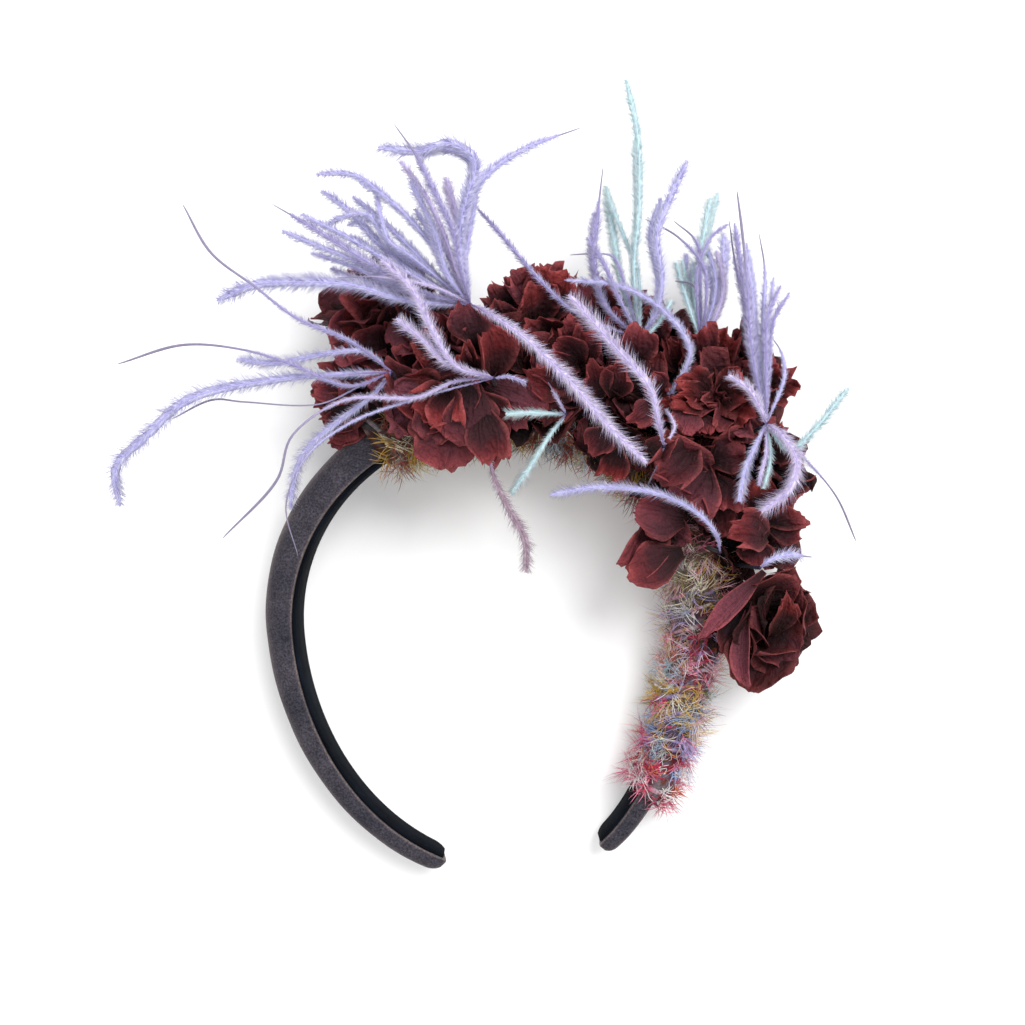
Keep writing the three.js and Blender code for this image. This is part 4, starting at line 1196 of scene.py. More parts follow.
# %% Petals placed one by one
# Under the name of a bloom: base, tip, width, cup, roll, tone, pale and look.
PLACED_PETALS = table("""
rose_left
404,348,24 338,318,38 27 0.32 0 0.75 0 smooth
402,330,24 352,276,38 20 0.3 10 0.6 0 rough
408,316,26 384,256,40 17 0.25 15 0.2 0 rough
412,322,28 424,274,40 14 0.2 20 0.15 0 rough
400,350,26 348,356,40 15 0.2 -10 0.3 0.1 smooth
424,366,36 398,350,46 11 0.4 -20 0.3 0.1 rough
438,374,40 419,357,49 8 0.5 0 0.85 0.1 rough
404,384,44 388,366,60 8 0.2 0 0.3 0.1 rough
rose_low_left
372,376,30 322,366,35 8 0.2 0 0.35 0 rough
356,398,27 313,388,31 9 0.15 10 0.8 0.35 rough
360,404,27 318,414,30 10 0.2 0 0.1 0 rough
382,410,28 330,447,28 7 0.15 -15 0.85 0.2 rough
376,400,26 324,434,27 9 0.2 0 0.1 0 rough
394,386,42 367,376,47 8 -0.15 0 0.2 0.85 smooth
rose_front
434,394,48 386,382,53 12 -0.16 0 0.15 0.75 smooth
468,386,46 466,468,45 26 0.1 0 0.45 0.05 rough
472,384,51 474,447,51 17 0.06 0 0.25 0.25 smooth
478,392,50 506,424,50 12 0.3 25 0.5 0.1 rough
452,392,48 418,409,53 13 0.35 -20 1 0.1 frilled
450,390,48 449,422,54 11 0.4 15 0.95 0.1 frilled
430,400,45 438,446,46 15 0.15 -10 0.3 0 rough
420,402,46 391,433,45 11 -0.1 0 0.2 0.55 rough
484,384,49 548,408,52 12 -0.12 0 0.15 0.65 smooth
498,384,46 528,426,46 12 0.1 10 0.25 0.45 rough
482,404,51 493,463,53 13 0.1 10 0.45 0.1 rough
bloom_upper_left
452,352,40 434,316,50 14 0.25 10 0.3 0 rough
466,350,42 466,314,50 10 0.1 20 0.1 0.4 rough
475,344,50 468,303,57 12 0.2 0 0.2 0.2 rough
444,356,42 420,334,48 10 0.3 0 0.5 0 frilled
bloom_folded
490,378,46 480,336,57 13 0.5 30 0.9 0.1 rough
478,372,45 462,346,53 9 0.35 -25 0.6 0 rough
bloom_deep
528,370,38 504,348,46 8 0.4 0 0.1 0 frilled
528,370,38 524,343,46 8 0.4 0 0.15 0 frilled
530,372,38 546,350,46 8 0.4 0 0.1 0 frilled
bloom_top
540,324,32 516,273,38 9 0.2 10 0.3 0.4 frilled
514,316,30 492,288,34 9 0.2 0 0.1 0 frilled
548,324,34 557,268,42 17 0.2 -15 0.85 0 rough
538,328,34 528,286,44 15 0.25 10 0.6 0 rough
552,346,36 532,318,45 14 0.3 0 0.4 0 rough
508,330,32 500,302,40 12 0.2 0 0.15 0 rough
bloom_centre
574,380,44 531,370,54 12 0.4 -30 0.7 0.1 rough
578,364,44 554,344,53 11 0.5 0 0.2 0.1 rough
576,352,42 562,324,50 10 0.2 10 0.6 0.2 rough
586,362,44 590,330,52 9 0.2 -10 0.7 0.1 frilled
600,396,44 588,366,53 10 0.3 0 0.45 0.1 rough
614,396,44 622,362,53 10 0.3 0 0.5 0.1 rough
566,392,42 548,412,46 11 0.1 0 0.2 0.2 rough
bloom_top_centre
628,354,34 621,309,45 13 -0.14 0 0.55 0.35 smooth
604,330,32 590,296,42 12 0.2 10 0.4 0 frilled
634,362,42 640,328,53 13 0.15 0 0.5 0.2 rough
bloom_top_right
650,348,32 666,305,42 10 0.1 -20 0.5 0.1 rough
bloom_small_right
680,372,32 667,345,41 8 0.3 0 0.35 0 frilled
682,372,32 684,338,40 9 0.3 0 0.3 0 frilled
686,374,32 696,352,39 8 0.3 0 0.3 0.1 frilled
714,378,32 729,334,42 9 0.1 -15 0.9 0 frilled
702,362,36 699,330,46 12 0.15 0 0.5 0.1 frilled
carnation_top
722,400,42 750,416,50 13 0.25 20 0.8 0 frilled
718,396,42 742,388,50 12 0.25 0 0.7 0 frilled
708,396,42 684,384,53 12 0.25 0 0.75 0 frilled
706,400,42 676,398,53 10 0.25 0 0.85 0 frilled
690,406,48 681,432,53 10 -0.12 0 0.75 0.5 smooth
652,404,46 628,419,52 8 0.25 -20 0.8 0.35 rough
700,414,47 704,434,50 8 0.1 0 0.65 0.2 rough
660,392,44 650,376,50 9 0.2 0 0.5 0.2 rough
carnation_side
692,446,46 662,478,54 13 0.5 0 0.25 0.15 frilled
708,470,42 688,508,49 16 0.15 0 0.15 0.4 frilled
714,476,42 728,510,47 12 0.2 0 0.3 0.1 frilled
712,462,42 742,448,48 12 0.2 0 0.25 0.1 frilled
bloom_far_right
768,388,26 790,400,30 10 0.2 0 0.5 0 frilled
766,384,26 780,366,32 9 0.2 0 0.6 0 frilled
bloom_side_right
764,458,36 792,440,41 11 0.2 0 0.5 0 frilled
bloom_inner
620,448,43 611,478,46 9 0.2 0 0.75 0 frilled
606,430,43 590,452,47 10 0.2 0 0.3 0.1 rough
bloom_leg
686,520,40 636,514,49 15 -0.1 0 0.22 0.3 smooth
682,552,40 627,574,45 14 -0.08 0 0.55 0.15 smooth
bloom_low_right
754,516,36 763,480,45 13 0.1 0 0.9 0 rough
766,538,36 737,524,45 13 0.2 20 0.85 0.2 frilled
768,526,32 804,526,36 12 0.2 0 0.45 0.1 rough
764,522,32 798,508,35 10 0.2 0 0.4 0 frilled
752,540,34 756,566,38 12 0.2 0 0.35 0.1 rough
rose_right
762,610,26 804,590,39 24 0.25 15 0.25 0 smooth
762,626,26 798,642,39 22 0.3 -10 0.35 0 smooth
762,628,26 754,690,35 22 0.3 0 0.3 0 smooth
758,592,30 796,571,38 12 0.25 20 0.5 0.1 smooth
750,612,34 749,688,40 7 0.5 45 0.3 0.7 smooth
768,636,32 785,600,43 9 0.3 30 1 0 rough
764,572,40 700,638,42 6.5 0.1 15 0.6 0.85 smooth
748,606,30 728,652,36 15 0.2 0 0.02 0 smooth
bloom_middle
650,452,46 668,438,61 8 0.2 0 0.3 0.1 rough
""")

# Petals deep in the gaps between blooms, painted near black as the shade there: base, tip and width.
SHADED_GAP_PETALS = table("""
bloom_leg
704,540,24 738,592,25 16
rose_right
722,566,20 734,642,24 18
742,590,22 716,650,24 14
bloom_low_right
728,520,28 742,576,28 15
bloom_side_right
742,436,28 752,492,28 16
764,470,22 786,494,22 16
790,468,20 802,498,20 12
bloom_far_right
734,350,22 748,416,26 15
bloom_top_right
640,360,26 664,320,24 15
bloom_top_centre
590,350,28 604,300,24 15
592,340,22 612,372,22 16
bloom_small_right
676,384,28 700,330,24 15
660,362,20 680,388,20 15
rose_left
398,372,28 376,384,30 14
bloom_top
506,350,28 484,312,26 14
""")
DEEP_SHADE = 0.8

# Blooms that are darker than the others, and by how much.
DARKER = {"rose_right": 0.38, "rose_left": 0.15, "bloom_deep": 0.3}
PALE_STAYS = 0.5

# Roses that are open, so their hearts are left empty.
HOLLOW = ("rose_left", "rose_right")


def placed_petal(base, tip, width, cup, roll, arch, look, curl, draw):
    """A petal from its base to its tip, facing up and then rolled about its own length."""
    ahead = tip - base
    chord = np.linalg.norm(ahead)
    ahead = ahead / chord
    normal = unit(np.array([0.0, 0.0, 1.0]) - ahead * ahead[2])
    turned = math.cos(radians(roll)) * normal + math.sin(radians(roll)) * np.cross(ahead, normal)
    reach = chord * arch / math.sin(arch)
    bend = (math.pi / 2 - arch, math.pi / 2 + arch + curl)
    shaped = {**look, "cup": cup, "curl": (-0.15, 0.35), "hem": (-0.05, 0.1)}
    return petal_sheet(base, ahead, turned, reach, width, bend, shaped, "fine", draw)


print("placed petals:", len(PLACED_PETALS))

# %% [markdown]
# Between the blooms small petals, darkened with painted shade, are tucked in, so that no band shows
# through the mass. More rings in each bloom would crowd it where no gap is, so these grow straight out
# of the wound yarn, and each is counted with the bloom nearest to it.

# %% Filler petals
FILLER_COUNT = 120
FILLER_START = radians(-24)
FILLER_END = radians(80)
FILLER_TURNS = (-0.5, 2.0)
FILLER_REACH = (10, 15)


def filler_petals():
    """The petals that fill the gaps, as a list of sheets for each bloom's name."""
    draw = np.random.default_rng(90)
    centres = np.array([seen_at(*bloom[1:4]) for bloom in BLOOMS])
    sheets = {bloom[0]: [] for bloom in BLOOMS}
    for index in range(FILLER_COUNT):
        angle = mix(FILLER_START, FILLER_END, (index + draw.random()) / FILLER_COUNT)
        turn = draw.uniform(*FILLER_TURNS)
        base = yarn_surface(angle, turn, 0.3)
        away = unit(yarn_surface(angle, turn, 1.0) - base)
        lean = unit(away + draw.normal(0, 0.55, 3))
        reach = draw.uniform(*FILLER_REACH)
        side = unit(np.cross(lean, draw.normal(0, 1, 3)))
        bend = (draw.uniform(0.0, 0.4), draw.uniform(0.7, 1.5))
        width = reach * draw.uniform(0.7, 1.0)
        sheet = petal_sheet(base, side, lean, reach, width, bend, LOOKS["rough"], "plain", draw)
        nearest = BLOOMS[int(np.argmin(np.linalg.norm(centres - base, axis=1)))][0]
        if reaches_free_place(sheet[-1].mean(axis=0)) or reaches_free_place(sheet.mean(axis=(0, 1))):
            continue
        sheets[nearest].append(sheet)
    return sheets


FILLERS = filler_petals()
print("filler petals:", sum(len(sheets) for sheets in FILLERS.values()))

# %% Build the blooms
HEART_DROP = 2.6
TABLE_CLEARANCE = 0.4
STEM_RADIUS = 1.3
STEM_SHARE = 0.8
STEM_STEPS = 6
LONE_ARCH = 0.35
LONE_WIDTH = 1.05
PLACED_ARCH = (0.25, 0.5)
PLACED_CURL = 0.1
DEEP_CUP = 0.15
MOST_SHADE = 0.95


def own_petals(bloom, order, base, axis, level, steep, draw):
    """The petals in the rings of a bloom: sheet, grid, tone, pale, shade."""
    rings = FULL_RINGS if bloom[0].startswith("carnation") else OPEN_RINGS
    look = look_of(bloom[0])
    petals = []
    for ring in range(len(rings) - (bloom[0] in HOLLOW)):
        for around, opening, reach, width in ring_petals(bloom, order, ring, rings, draw):
            own_axis = unit(axis + AXIS_WOBBLE * draw.normal(0, 1, 3))
            out = level * math.cos(around) + steep * math.sin(around)
            out = unit(out - own_axis * (out @ own_axis))
            if reaches_free_place(base + reach * (out * math.sin(opening) + own_axis * math.cos(opening))):
                continue
            bend = (opening * draw.uniform(0.5, 0.8), opening * draw.uniform(1.1, 1.45))
            lively = {**look, "cup": look["cup"] * draw.uniform(0.4, 2.0)}
            sheet = petal_sheet(base, out, own_axis, reach, width, bend, lively, "plain", draw)
            tone = draw.beta(1.1, 2.6)
            pale = draw.beta(0.6, 4)
            petals.append((sheet, "plain", tone, pale, rings[ring][5] + draw.uniform(0, 0.3)))
    return petals


def named_petals(name, base, draw):
    """The petals of a bloom that are placed one by one, in the same form."""
    petals = []
    for tip, width, cup, curl in rows_of(name, LONE_PETALS):
        ends = (base, seen_at(*tip))
        arch = LONE_ARCH + cup
        sheet = placed_petal(*ends, width * LONE_WIDTH, cup, 0, arch, look_of(name), curl, draw)
        petals.append((sheet, "fine", draw.beta(1.2, 2), draw.beta(0.8, 3), 0.05))
    for start, end, width, cup, roll, tone, pale, look in rows_of(name, PLACED_PETALS):
        ends = (seen_at(*start), seen_at(*end))
        arch = draw.uniform(*PLACED_ARCH)
        sheet = placed_petal(*ends, width, cup, roll, arch, LOOKS[look], PLACED_CURL, draw)
        petals.append((sheet, "fine", tone, pale, 0.0))
    for start, end, width in rows_of(name, SHADED_GAP_PETALS):
        ends = (seen_at(*start), seen_at(*end))
        sheet = placed_petal(*ends, width, DEEP_CUP, 0, LONE_ARCH, LOOKS["rough"], PLACED_CURL, draw)
        petals.append((sheet, "fine", 0.0, 0.0, DEEP_SHADE))
    return petals


def bloom_piece(bloom, order):
    name = bloom[0]
    centre, root, axis, level, steep = bloom_frame(bloom)
    draw = np.random.default_rng(200 + order)
    heap = Heap()
    base = centre - axis * HEART_DROP
    pressed = own_petals(bloom, order, base, axis, level, steep, draw)
    free = named_petals(name, base, draw)
    # Fillers take a strong painted shade, as they sit deep between the blooms.
    free += [(sheet, "plain", 0.1, 0.0, draw.uniform(0.5, 0.85)) for sheet in FILLERS[name]]
    for place, (sheet, grid, tone, pale, shade) in enumerate(pressed + free):
        points = petal_solid(sheet)
        if pale < PALE_STAYS:
            shade = min(shade + DARKER.get(name, 0), MOST_SHADE)
        if place < len(pressed):
            points = press_on_neighbours(points, bloom, axis)
            points = out_of_yarn(points, GAP)
        points[:, 2] = np.maximum(points[:, 2], TABLE_CLEARANCE)
        heap.add(points, PETAL_FACES[grid], **petal_marks(grid, tone, pale, shade))
    stem_path = np.linspace(base, mix(base, root, STEM_SHARE), STEM_STEPS)
    points, faces = tube(stem_path, np.full(STEM_STEPS, STEM_RADIUS), 8)
    heap.add(points, faces, **{mark: np.zeros(len(points)) for mark in heap.marks})
    return heap.make(f"{name}_petals", PETAL, "dried_petal", [name])


blooms = [bloom_piece(bloom, order) for order, bloom in enumerate(BLOOMS)]
print("petal faces:", sum(len(bloom.data.polygons) for bloom in blooms))

# %% [markdown]
# ## The ostrich feathers
# An ostrich barb is a thin quill with soft barbules down both sides, like a long caterpillar, and it
# often ends bare and darker. Strands are tied in sprays: their quills meet at one head on the band.
# Hair curves would be lost on export, so each barbule is a thin spike, and a thin web beside the quill
# stands for those too close to tell apart.

# %% The sprays and their strands
# The head of each spray: across, down and height.
SPRAYS = table("""
feathers_left 392 372 57
feathers_upper_left 470 304 55
feathers_front 494 378 60
feathers_middle 664 446 59
feathers_top_right 640 340 46
feathers_far_right 700 340 40
feathers_right 766 424 50
feather_low_right 760 568 42
feather_inner_leg 720 552 46
feather_hanging 489 452 50
feathers_mint 566 414 57
""")

# Under the name of a spray: dye, the tip's height, how far the strand arches, the width of its vane, the
# bare share at its tip, then the pixels that it passes from its tip to the head of the spray.
STRANDS = table("""
feathers_left
grey 62 6 2.2 0.45 183,205 211,253 254,286 298,319 350,341
grey 44 6 2.4 0.5 118,364 183,345 244,350 288,363 350,386
lavender 30 6 5.4 0 120,508 116,468 146,436 189,399 280,379 350,374
lavender 36 4 3.6 0 236,359 275,363 331,353 365,352
lavender 26 2 3.8 0 290,510 295,475 308,448 340,420 372,396
grey 40 4 1.2 0.8 172,419 212,400 244,402 320,404 364,384
feathers_upper_left
lavender 52 8 5 0 216,301 254,285 298,282 353,285 410,301
lavender 44 6 3 0 281,230 318,246 360,263 405,287
grey 58 6 3 0.1 272,204 318,231 369,263 420,292
lavender 50 6 3 0 315,174 353,175 388,199 423,234 448,270
lavender 40 6 3.2 0 321,190 350,212 379,244 420,276
lavender 46 6 2.8 0 323,229 340,218 368,215 388,242 437,278
lavender 66 10 4.8 0 377,147 420,151 449,143 475,160 466,202 461,240
lavender 56 8 3.2 0.1 580,128 524,149 485,177 466,210 458,254
grey 70 8 3 0.2 394,124 417,157 436,195 453,231 460,268
lavender 60 6 3.4 0 410,180 423,206 436,235 446,270
pale 62 6 1.6 0.3 337,278 381,277 437,288
pale 63 8 4.4 0 648,464 610,427 571,382 525,338 490,314
grey 40 3 2.4 0 330,268 350,276 400,290
lavender 52 6 2.4 0 377,188 378,202 381,218 390,242 405,252 437,277
lavender 44 5 2.8 0 470,160 476,190 470,230 466,262
lavender 48 5 3 0 300,214 345,236 390,262 430,285
pale 54 6 3 0 400,160 428,200 446,240 458,275
lavender 44 5 3 0 352,196 384,222 414,252 444,282
pale 50 6 3.2 0 446,176 456,215 462,255
feathers_front
pale 40 5 2.6 0.5 223,538 277,480 292,436 345,400 418,397 456,381
pale 66 2 4 0 380,259 410,286 429,324 456,366
pale 64 1 4 0 396,318 421,338 446,362
lavender 38 0 1.3 0.3 298,556 286,505 307,456 350,423 418,398
grey 58 0 1.8 0 526,383 510,377
feathers_middle
pale 60 5 5 0 568,294 618,350 650,388 658,420
pale 50 0 1.8 0 666,409 672,419 674,429
grey 44 0 1 0.6 648,485 661,458
feathers_top_right
grey 34 4 2.4 0.1 462,192 498,231 537,277 575,312
mint 46 4 3.6 0 626,78 638,138 639,210 634,270
grey 40 4 3.4 0.2 603,167 598,211 594,262 606,306
mint 30 4 3.6 0 607,187 613,232 622,284
grey 52 4 2.4 0 587,237 605,266 618,296
lavender 50 6 4 0 688,160 670,198 657,236 662,280 656,314
grey 40 4 1.6 0.3 570,255 589,254 613,257 626,290
mint 36 4 2.2 0 608,196 617,219 629,248 637,266 640,300
mint 40 3 2.4 0 672,300 662,318 652,330
feathers_far_right
grey 44 4 2.2 0.3 645,219 678,237 704,268 706,304
grey 36 2 2.4 0.2 674,221 697,243 700,290
mint 26 4 4 0 711,197 703,240 694,290
lavender 24 2 3.6 0 724,232 722,270 712,308
lavender 52 4 2.6 0 564,280 620,286 665,312 690,352 670,396
grey 44 4 1.6 0 729,224 713,235 704,251 697,271 697,300
grey 38 2 1.4 0.4 675,281 691,284 700,300
lavender 30 4 3 0 700,236 712,262 716,290 710,315
lavender 26 4 3.2 0 694,262 690,290 694,314
pale 34 4 2.6 0 716,250 724,285 716,316
mint 34 4 2.8 0 676,262 684,290 692,316
feathers_right
grey 48 4 3.4 0.35 737,191 742,230 747,280 752,350
grey 40 2 2.8 0.2 729,220 735,262 746,310 756,370
lavender 34 2 2.6 0.2 759,233 765,272 763,330 765,380
grey 50 2 2.6 0 781,285 768,315 766,370
mint 62 2 3 0 847,389 815,429 790,450
mint 52 1 2.4 0 763,489 769,468 770,445
grey 30 4 1.8 0.5 856,541 836,496 804,458 780,436
pale 56 6 5 0 761,512 790,488 797,460 782,436
pale 54 4 3.4 0 728,375 749,390 760,408
lavender 52 2 3.2 0 739,502 746,468 760,436
lavender 40 2 1.8 0.2 771,336 782,354 784,378
pale 52 2 2.2 0 759,486 761,474 766,454
lavender 34 2 2.6 0 744,250 752,290 756,340
mint 40 2 2.4 0 756,336 762,370 764,396
feather_low_right
lavender 38 2 3.8 0.2 812,557 788,555 770,560
feather_inner_leg
lavender 50 4 3.4 0 549,495 600,487 660,494 700,515 717,536
feather_hanging
mauve 46 2 3.8 0 526,573 525,540 506,504 493,474
feathers_mint
mint 46 2 3 0 511,494 528,470 548,438
mint 56 0 3 0 505,414 530,413
pale 56 2 1.6 0.3 548,382 556,396
""")

print("strands:", len(STRANDS))

# %% [markdown]
# The sprays are dyed in lavender, mint, grey and mauve, with darker bare tips. The dye differs from
# strand to strand and along each one, so it is stored on the points like that of the yarn, with a darker
# and a lighter copy of each dye as painted shadow and painted highlight. The material adds only what is
# finer: the down, and the comb of barbules across the web, whose faint dark lines are painted shade.

# %% The feathers' own look
# Each dye: its own colour, a darker copy as painted shadow and a lighter copy as painted highlight. The
# darker copy also colours the quills and the roots of the vanes.
DYES = {
    "lavender": ("#d6d5f7", "#b8b4e2", "#eceafd"),
    "pale": ("#e3d8f4", "#c2b6df", "#f2ecfb"),
    "mint": ("#dcf1f1", "#bcdbe0", "#eef9f9"),
    "grey": ("#c8c3e8", "#9992c0", "#e0dcf4"),
    "mauve": ("#c2abb9", "#95808d", "#d9c8d2"),
}
BARE_DYE = "#8c859c"
ROOT_DYE = "#7a6c98"

# Waves for each millimetre of a vane, where its barbules lie side by side, with painted shade between them.
COMB_FREQUENCY = 9


def feather_material():
    surface = Surface("ostrich_feather")
    tint = surface.mark("tint", "Color")
    down = surface.noise(700, 3.0, 0.6)
    comb = surface.wave(COMB_FREQUENCY * surface.mark("comb"))
    # The comb paints faint shade between the barbules; the down noise varies the dye at random.
    shade = surface.ramp(down + 0.1 * comb, [(0.3, "#d6d0e0"), (0.65, "#ffffff")])
    base = surface.blend(0.6, tint, shade, "MULTIPLY")
    return surface.finish(base, 0.75, 0.15, sheen=(0.1, 0.5, "#ffffff"))


FEATHER = feather_material()
print("dyes of the feathers:", ", ".join(DYES))

# %% Grow one strand
QUILL_RADIUS = 0.3
QUILL_POINT = 0.08
THIN_STRAND = 2
BARBULE_STEP = 0.145
BARBULE_RADIUS = 0.1
BARBULE_SWEEP = (0.55, 1.1)
BARBULE_REACH = 2.1
CURVE_STEPS = 60
QUILL_SIDES = 5
BASE_FLUFF = 0.07
VANE_STEPS = 44
VANE_THICK = 0.07
VANE_SHARE = 0.5
COMB_SLANT = 0.9


def feathered_share(bare):
    """The share of a strand that has barbules, which ends before its bare tip."""
    return 1 - bare * 0.9


def strand_route(row, head):
    """The curve of a strand from its spray's head to its tip, and its length."""
    _, tip_height, arch, _, _, *pixels = row
    places = [head]
    for index, (across, down) in enumerate(reversed(pixels)):
        share = (index + 1) / len(pixels)
        height = mix(head[2], tip_height, share) + arch * math.sin(share * math.pi)
        places.append(seen_at(across, down, height))
    return smooth_curve(places, CURVE_STEPS)


def along_curve(curve, share):
    at = share * (len(curve) - 1)
    return np.stack([np.interp(at, np.arange(len(curve)), curve[:, axis]) for axis in range(3)], axis=1)


def ways_along(route, share):
    """Points of a route, with the ways ahead, to the side and up at each of them."""
    ahead = unit(along_curve(unit(np.gradient(route, axis=0)), share))
    side = unit(np.cross(ahead, [0.0, 0.0, 1.0]))
    return along_curve(route, share), ahead, side, np.cross(side, ahead)


def vane_width(share, length, bare):
    """How wide the vane is along a strand: narrow at the root, fullest near a blunt tip."""
    clump = 1 + 0.14 * np.sin(share * length * 1.3) * np.sin(share * length * 0.37 + 1)
    end = feathered_share(bare)
    body = mix(0.5, 1.0, smooth(share, 0.0, 0.55 * end)) * smooth(share, -0.02, BASE_FLUFF)
    tip = np.sqrt(np.clip((end - share) / (0.1 + 0.5 * bare), 0, 1))
    return body * tip * clump


def barbule_paths(route, length, width, bare, draw):
    """Short soft barbules down both sides of the quill, swept towards the tip."""
    end = feathered_share(bare)
    count = int(2 * length * end / BARBULE_STEP)
    share = np.sort(draw.random(count)) ** 0.9 * end * 0.985
    roots, ahead, side, up = ways_along(route, share)
    hand = np.where(draw.random(count) < 0.5, -1.0, 1.0)[:, None]
    roll = draw.normal(0, 0.4, (count, 1))
    away = unit(side * hand * np.cos(roll) + up * np.sin(roll))
    sweep = draw.uniform(*BARBULE_SWEEP, (count, 1))
    body = np.maximum(vane_width(share, length, bare), 0.12)
    size = (width / 2 * BARBULE_REACH * body * draw.uniform(0.75, 1.12, count))[:, None]
    tips = roots + unit(away * np.cos(sweep) + ahead * np.sin(sweep)) * size
    return np.stack([roots, tips], axis=1), share


def vane_body(route, length, width, bare):
    """A thin flat web on both sides of the quill, where the barbules lie too close to tell apart."""
    share = np.linspace(0.01, feathered_share(bare) - 0.005, VANE_STEPS)
    middle, _, side, up = ways_along(route, share)
    body = np.maximum(vane_width(share, length, bare), 0.03)[:, None]
    half = width / 2 * VANE_SHARE * body
    thick = VANE_THICK * np.minimum(body * 3, 1)
    lines = [middle - side * half, middle - up * thick, middle + side * half, middle + up * thick]
    run = share * length
    slant = COMB_SLANT * half[:, 0]
    comb = np.stack([run - slant, run, run - slant, run], axis=1)
    return *ring_body(lines), comb.ravel(), np.repeat(share, len(lines))


def vane_tints(dye, share):
    """The middle dye, turning to its painted shadow copy, warmer and darker, at the root of the strand."""
    root = smooth(share, 0.0, 0.4)[:, None]
    return mix(np.array(colour(DYES[dye][1])), np.array(colour(DYES[dye][0])), root)


def barbule_tints(dye, share, draw):
    """Mostly the middle dye, some in its painted shadow copy and some in its painted highlight copy,
    all darker where they leave the mass.
    """
    kinds = np.array([colour(code) for code in DYES[dye]])
    pick = draw.choice(3, len(share), p=(0.55, 0.25, 0.2))
    light = draw.uniform(0.85, 1.12, (len(share), 1)) * mix(0.84, 1.0, smooth(share, 0.0, 0.3))[:, None]
    rgb = np.clip(kinds[pick][:, :3] * light, 0, 1)
    return np.concatenate([rgb, np.ones((len(share), 1))], axis=1)


def add_plain(heap, body, tint):
    """Adds a body of a feather that has no comb of barbules on it."""
    points, faces = body
    heap.add(points, faces, tint=tint, comb=np.zeros(len(points)))


def grow_strand(heap, row, head, draw):
    dye, _, _, width, bare, *_ = row
    route, length = strand_route(row, head)
    run = np.linspace(0, 1, CURVE_STEPS)
    radii = mix(QUILL_POINT, QUILL_RADIUS, np.sqrt(np.clip((1 - run) * 6, 0, 1)))
    radii = radii * (0.75 if width < THIN_STRAND else 1) * (1 + 0.5 * smooth(run, 0.4, 0.9) * (bare > 0.3))
    share = np.repeat(run, QUILL_SIDES)[:, None]
    tint = mix(np.array(colour(ROOT_DYE)), np.array(colour(DYES[dye][1])), smooth(share, 0.0, 0.22))
    if bare:
        bareness = smooth(share, 1 - bare * 1.3 - 0.02, 1 - bare * 0.6)
        tint = mix(tint, np.array(colour(BARE_DYE)), bareness)
    add_plain(heap, tube(route, radii, QUILL_SIDES), tint)
    points, faces, comb, place = vane_body(route, length, width, bare)
    heap.add(points, faces, tint=vane_tints(dye, place), comb=comb)
    paths, place = barbule_paths(route, length, width, bare, draw)
    *body, tints = hairs(paths, [BARBULE_RADIUS], barbule_tints(dye, place, draw))
    add_plain(heap, body, tints)


print("a barbule every", BARBULE_STEP, "mm on each side")

# %% [markdown]
# The thick sprays have more strands than can be told apart in the picture. Placing each by hand would
# only be guesswork, so their wide strands get a shorter companion that fans out below them.

# %% Companion strands
COMPANIONS = ("feathers_upper_left", "feathers_top_right", "feathers_far_right", "feathers_right")
COMPANION_WIDTH = 2.6
COMPANION_SHARE = 0.8
COMPANION_JITTER = 9
COMPANION_DROP = 5


def companion(row, draw):
    """A shorter strand that starts beside another and fans out below it."""
    dye, tip_height, arch, width, _, *pixels = row
    kept = pixels[1:] if len(pixels) > 3 else pixels
    swing = draw.uniform(-COMPANION_JITTER, COMPANION_JITTER, 2)
    moved = []
    for index, (across, down) in enumerate(kept):
        share = 1 - index / len(kept)
        moved.append((across + swing[0] * share, down + swing[1] * share))
    return (dye, tip_height - COMPANION_DROP, arch, width * COMPANION_SHARE, 0, *moved)


def spray_rows(name, draw):
    rows = rows_of(name, STRANDS)
    if name in COMPANIONS:
        rows += [companion(row, draw) for row in rows if row[3] >= COMPANION_WIDTH]
    return rows


print("sprays with companions:", len(COMPANIONS))

# %% [markdown]
# On the real piece the quills of a spray are bound together and pushed into the yarn. Petals hide most
# of that, so a small bound head and a thin dark stem are plain tubes, and the strands grow from the head.

# %% Tie the sprays
TIE_RADIUS = 0.6
TIE_LENGTH = 3.5
SPRAY_STEM_RADIUS = 0.6
TIE_SHAPE = (0.35, 0.8, 1.0, 0.9, 1.0, 0.85, 0.6)
STEM_DYE = "#120c18"
TIE_DYE = "#382c48"


def add_tied(heap, path, radii, sides, dye):
    body = tube(path, radii, sides)
    add_plain(heap, body, np.tile(colour(dye), (len(body[0]), 1)))


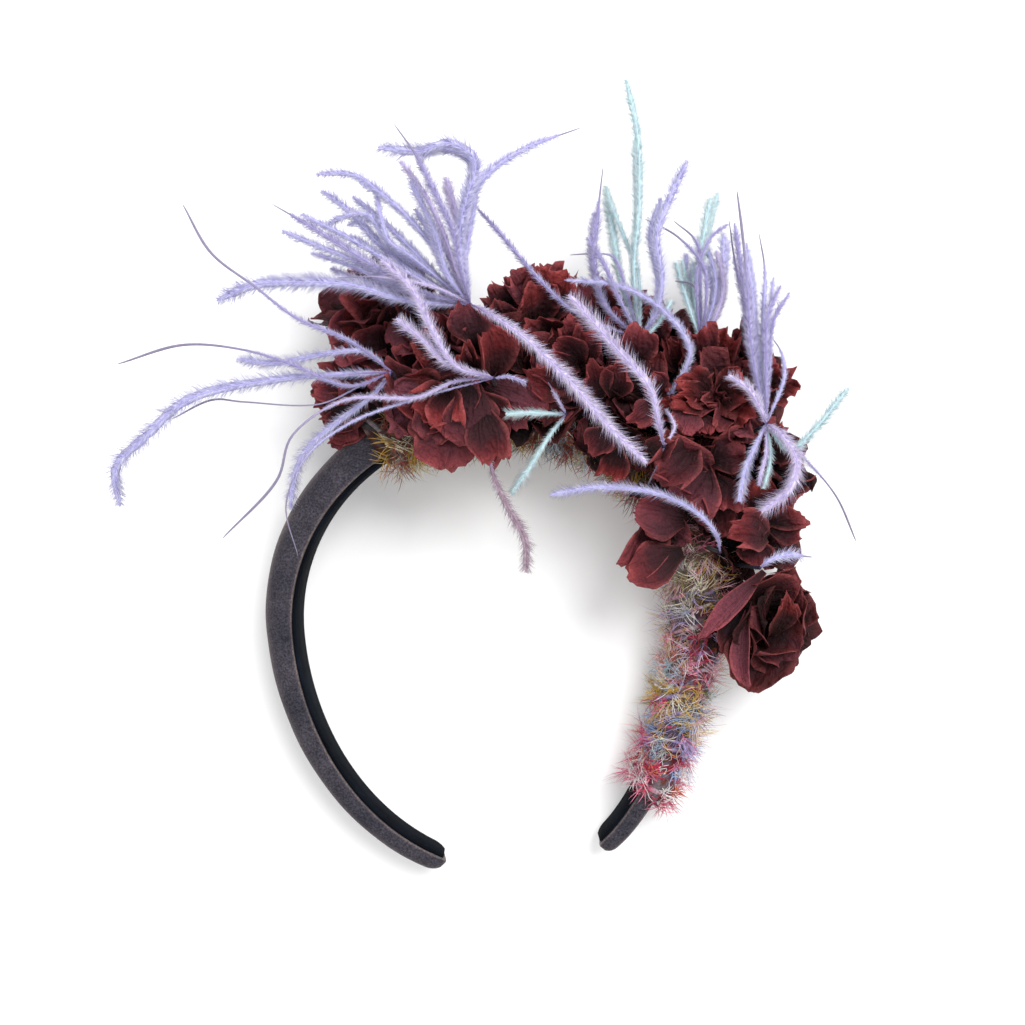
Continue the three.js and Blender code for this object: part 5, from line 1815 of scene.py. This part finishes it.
def spray_piece(spray, order):
    name, across, down, height = spray
    head = seen_at(across, down, height)
    draw = np.random.default_rng(400 + order)
    heap = Heap()
    root = nearest_on_band(head)
    stem = np.linspace(head, mix(head, root, STEM_SHARE), 8)
    add_tied(heap, stem, SPRAY_STEM_RADIUS * np.linspace(1, 0.8, 8), 7, STEM_DYE)
    down_stem = unit(root - head)
    tie = head + down_stem[None] * np.linspace(-0.5, TIE_LENGTH, len(TIE_SHAPE))[:, None]
    add_tied(heap, tie, TIE_RADIUS * np.array(TIE_SHAPE), 9, TIE_DYE)
    for row in spray_rows(name, draw):
        grow_strand(heap, row, head, draw)
    slot = "mint_feather" if name == "feathers_mint" else "feather"
    return heap.make(f"{name}_plume", FEATHER, slot, [name])


plumes = [spray_piece(spray, order) for order, spray in enumerate(SPRAYS)]
print("feather faces:", sum(len(plume.data.polygons) for plume in plumes))

# %% [markdown]
# ## The table and the light
# The picture is a plain studio one: a white table, one large soft light from the upper right, and
# white all round, so the shadows are a pale halo that falls a little to the lower left. Several small
# lamps would leave shadows that cross, so one wide disk of light and a white world do it all.

# %% Table and lights
TABLE_SIZE = 3.0


def table_material():
    surface = Surface("white_table")
    grain = surface.noise(40, 2.0)
    base = surface.ramp(grain, [(0.0, "#f9f9f9"), (1.0, "#fcfcfc")])
    return surface.finish(base, 0.9, 0.1)


def table_piece():
    half = TABLE_SIZE / 2
    mesh = bpy.data.meshes.new("table")
    corners = [(-half, -half, 0), (half, -half, 0), (half, half, 0), (-half, half, 0)]
    mesh.from_pydata(corners, [], [[0, 1, 2, 3]])
    mesh.materials.append(table_material())
    table = bpy.data.objects.new("table", mesh)
    bpy.context.scene.collection.objects.link(table)


def soft_light(name, place, size, watts):
    data = bpy.data.lights.new(name, "AREA")
    data.shape = "DISK"
    data.size = size
    data.energy = watts
    light = bpy.data.objects.new(name, data)
    light.location = place
    light.rotation_euler = (Vector((0, 0, 0)) - Vector(place)).to_track_quat("-Z", "Y").to_euler()
    bpy.context.scene.collection.objects.link(light)


def white_world(strength):
    world = bpy.data.worlds.new("studio")
    world.use_nodes = True
    background = world.node_tree.nodes["Background"]
    background.inputs["Color"].default_value = (1.0, 1.0, 1.0, 1.0)
    background.inputs["Strength"].default_value = strength
    bpy.context.scene.world = world


table_piece()
soft_light("key_light", (0.45, 0.6, 1.3), 0.7, 15)
white_world(1.0)
bpy.context.scene.view_settings.view_transform = "Standard"
bpy.context.scene.view_settings.look = "None"
print("lights:", len(bpy.data.lights))
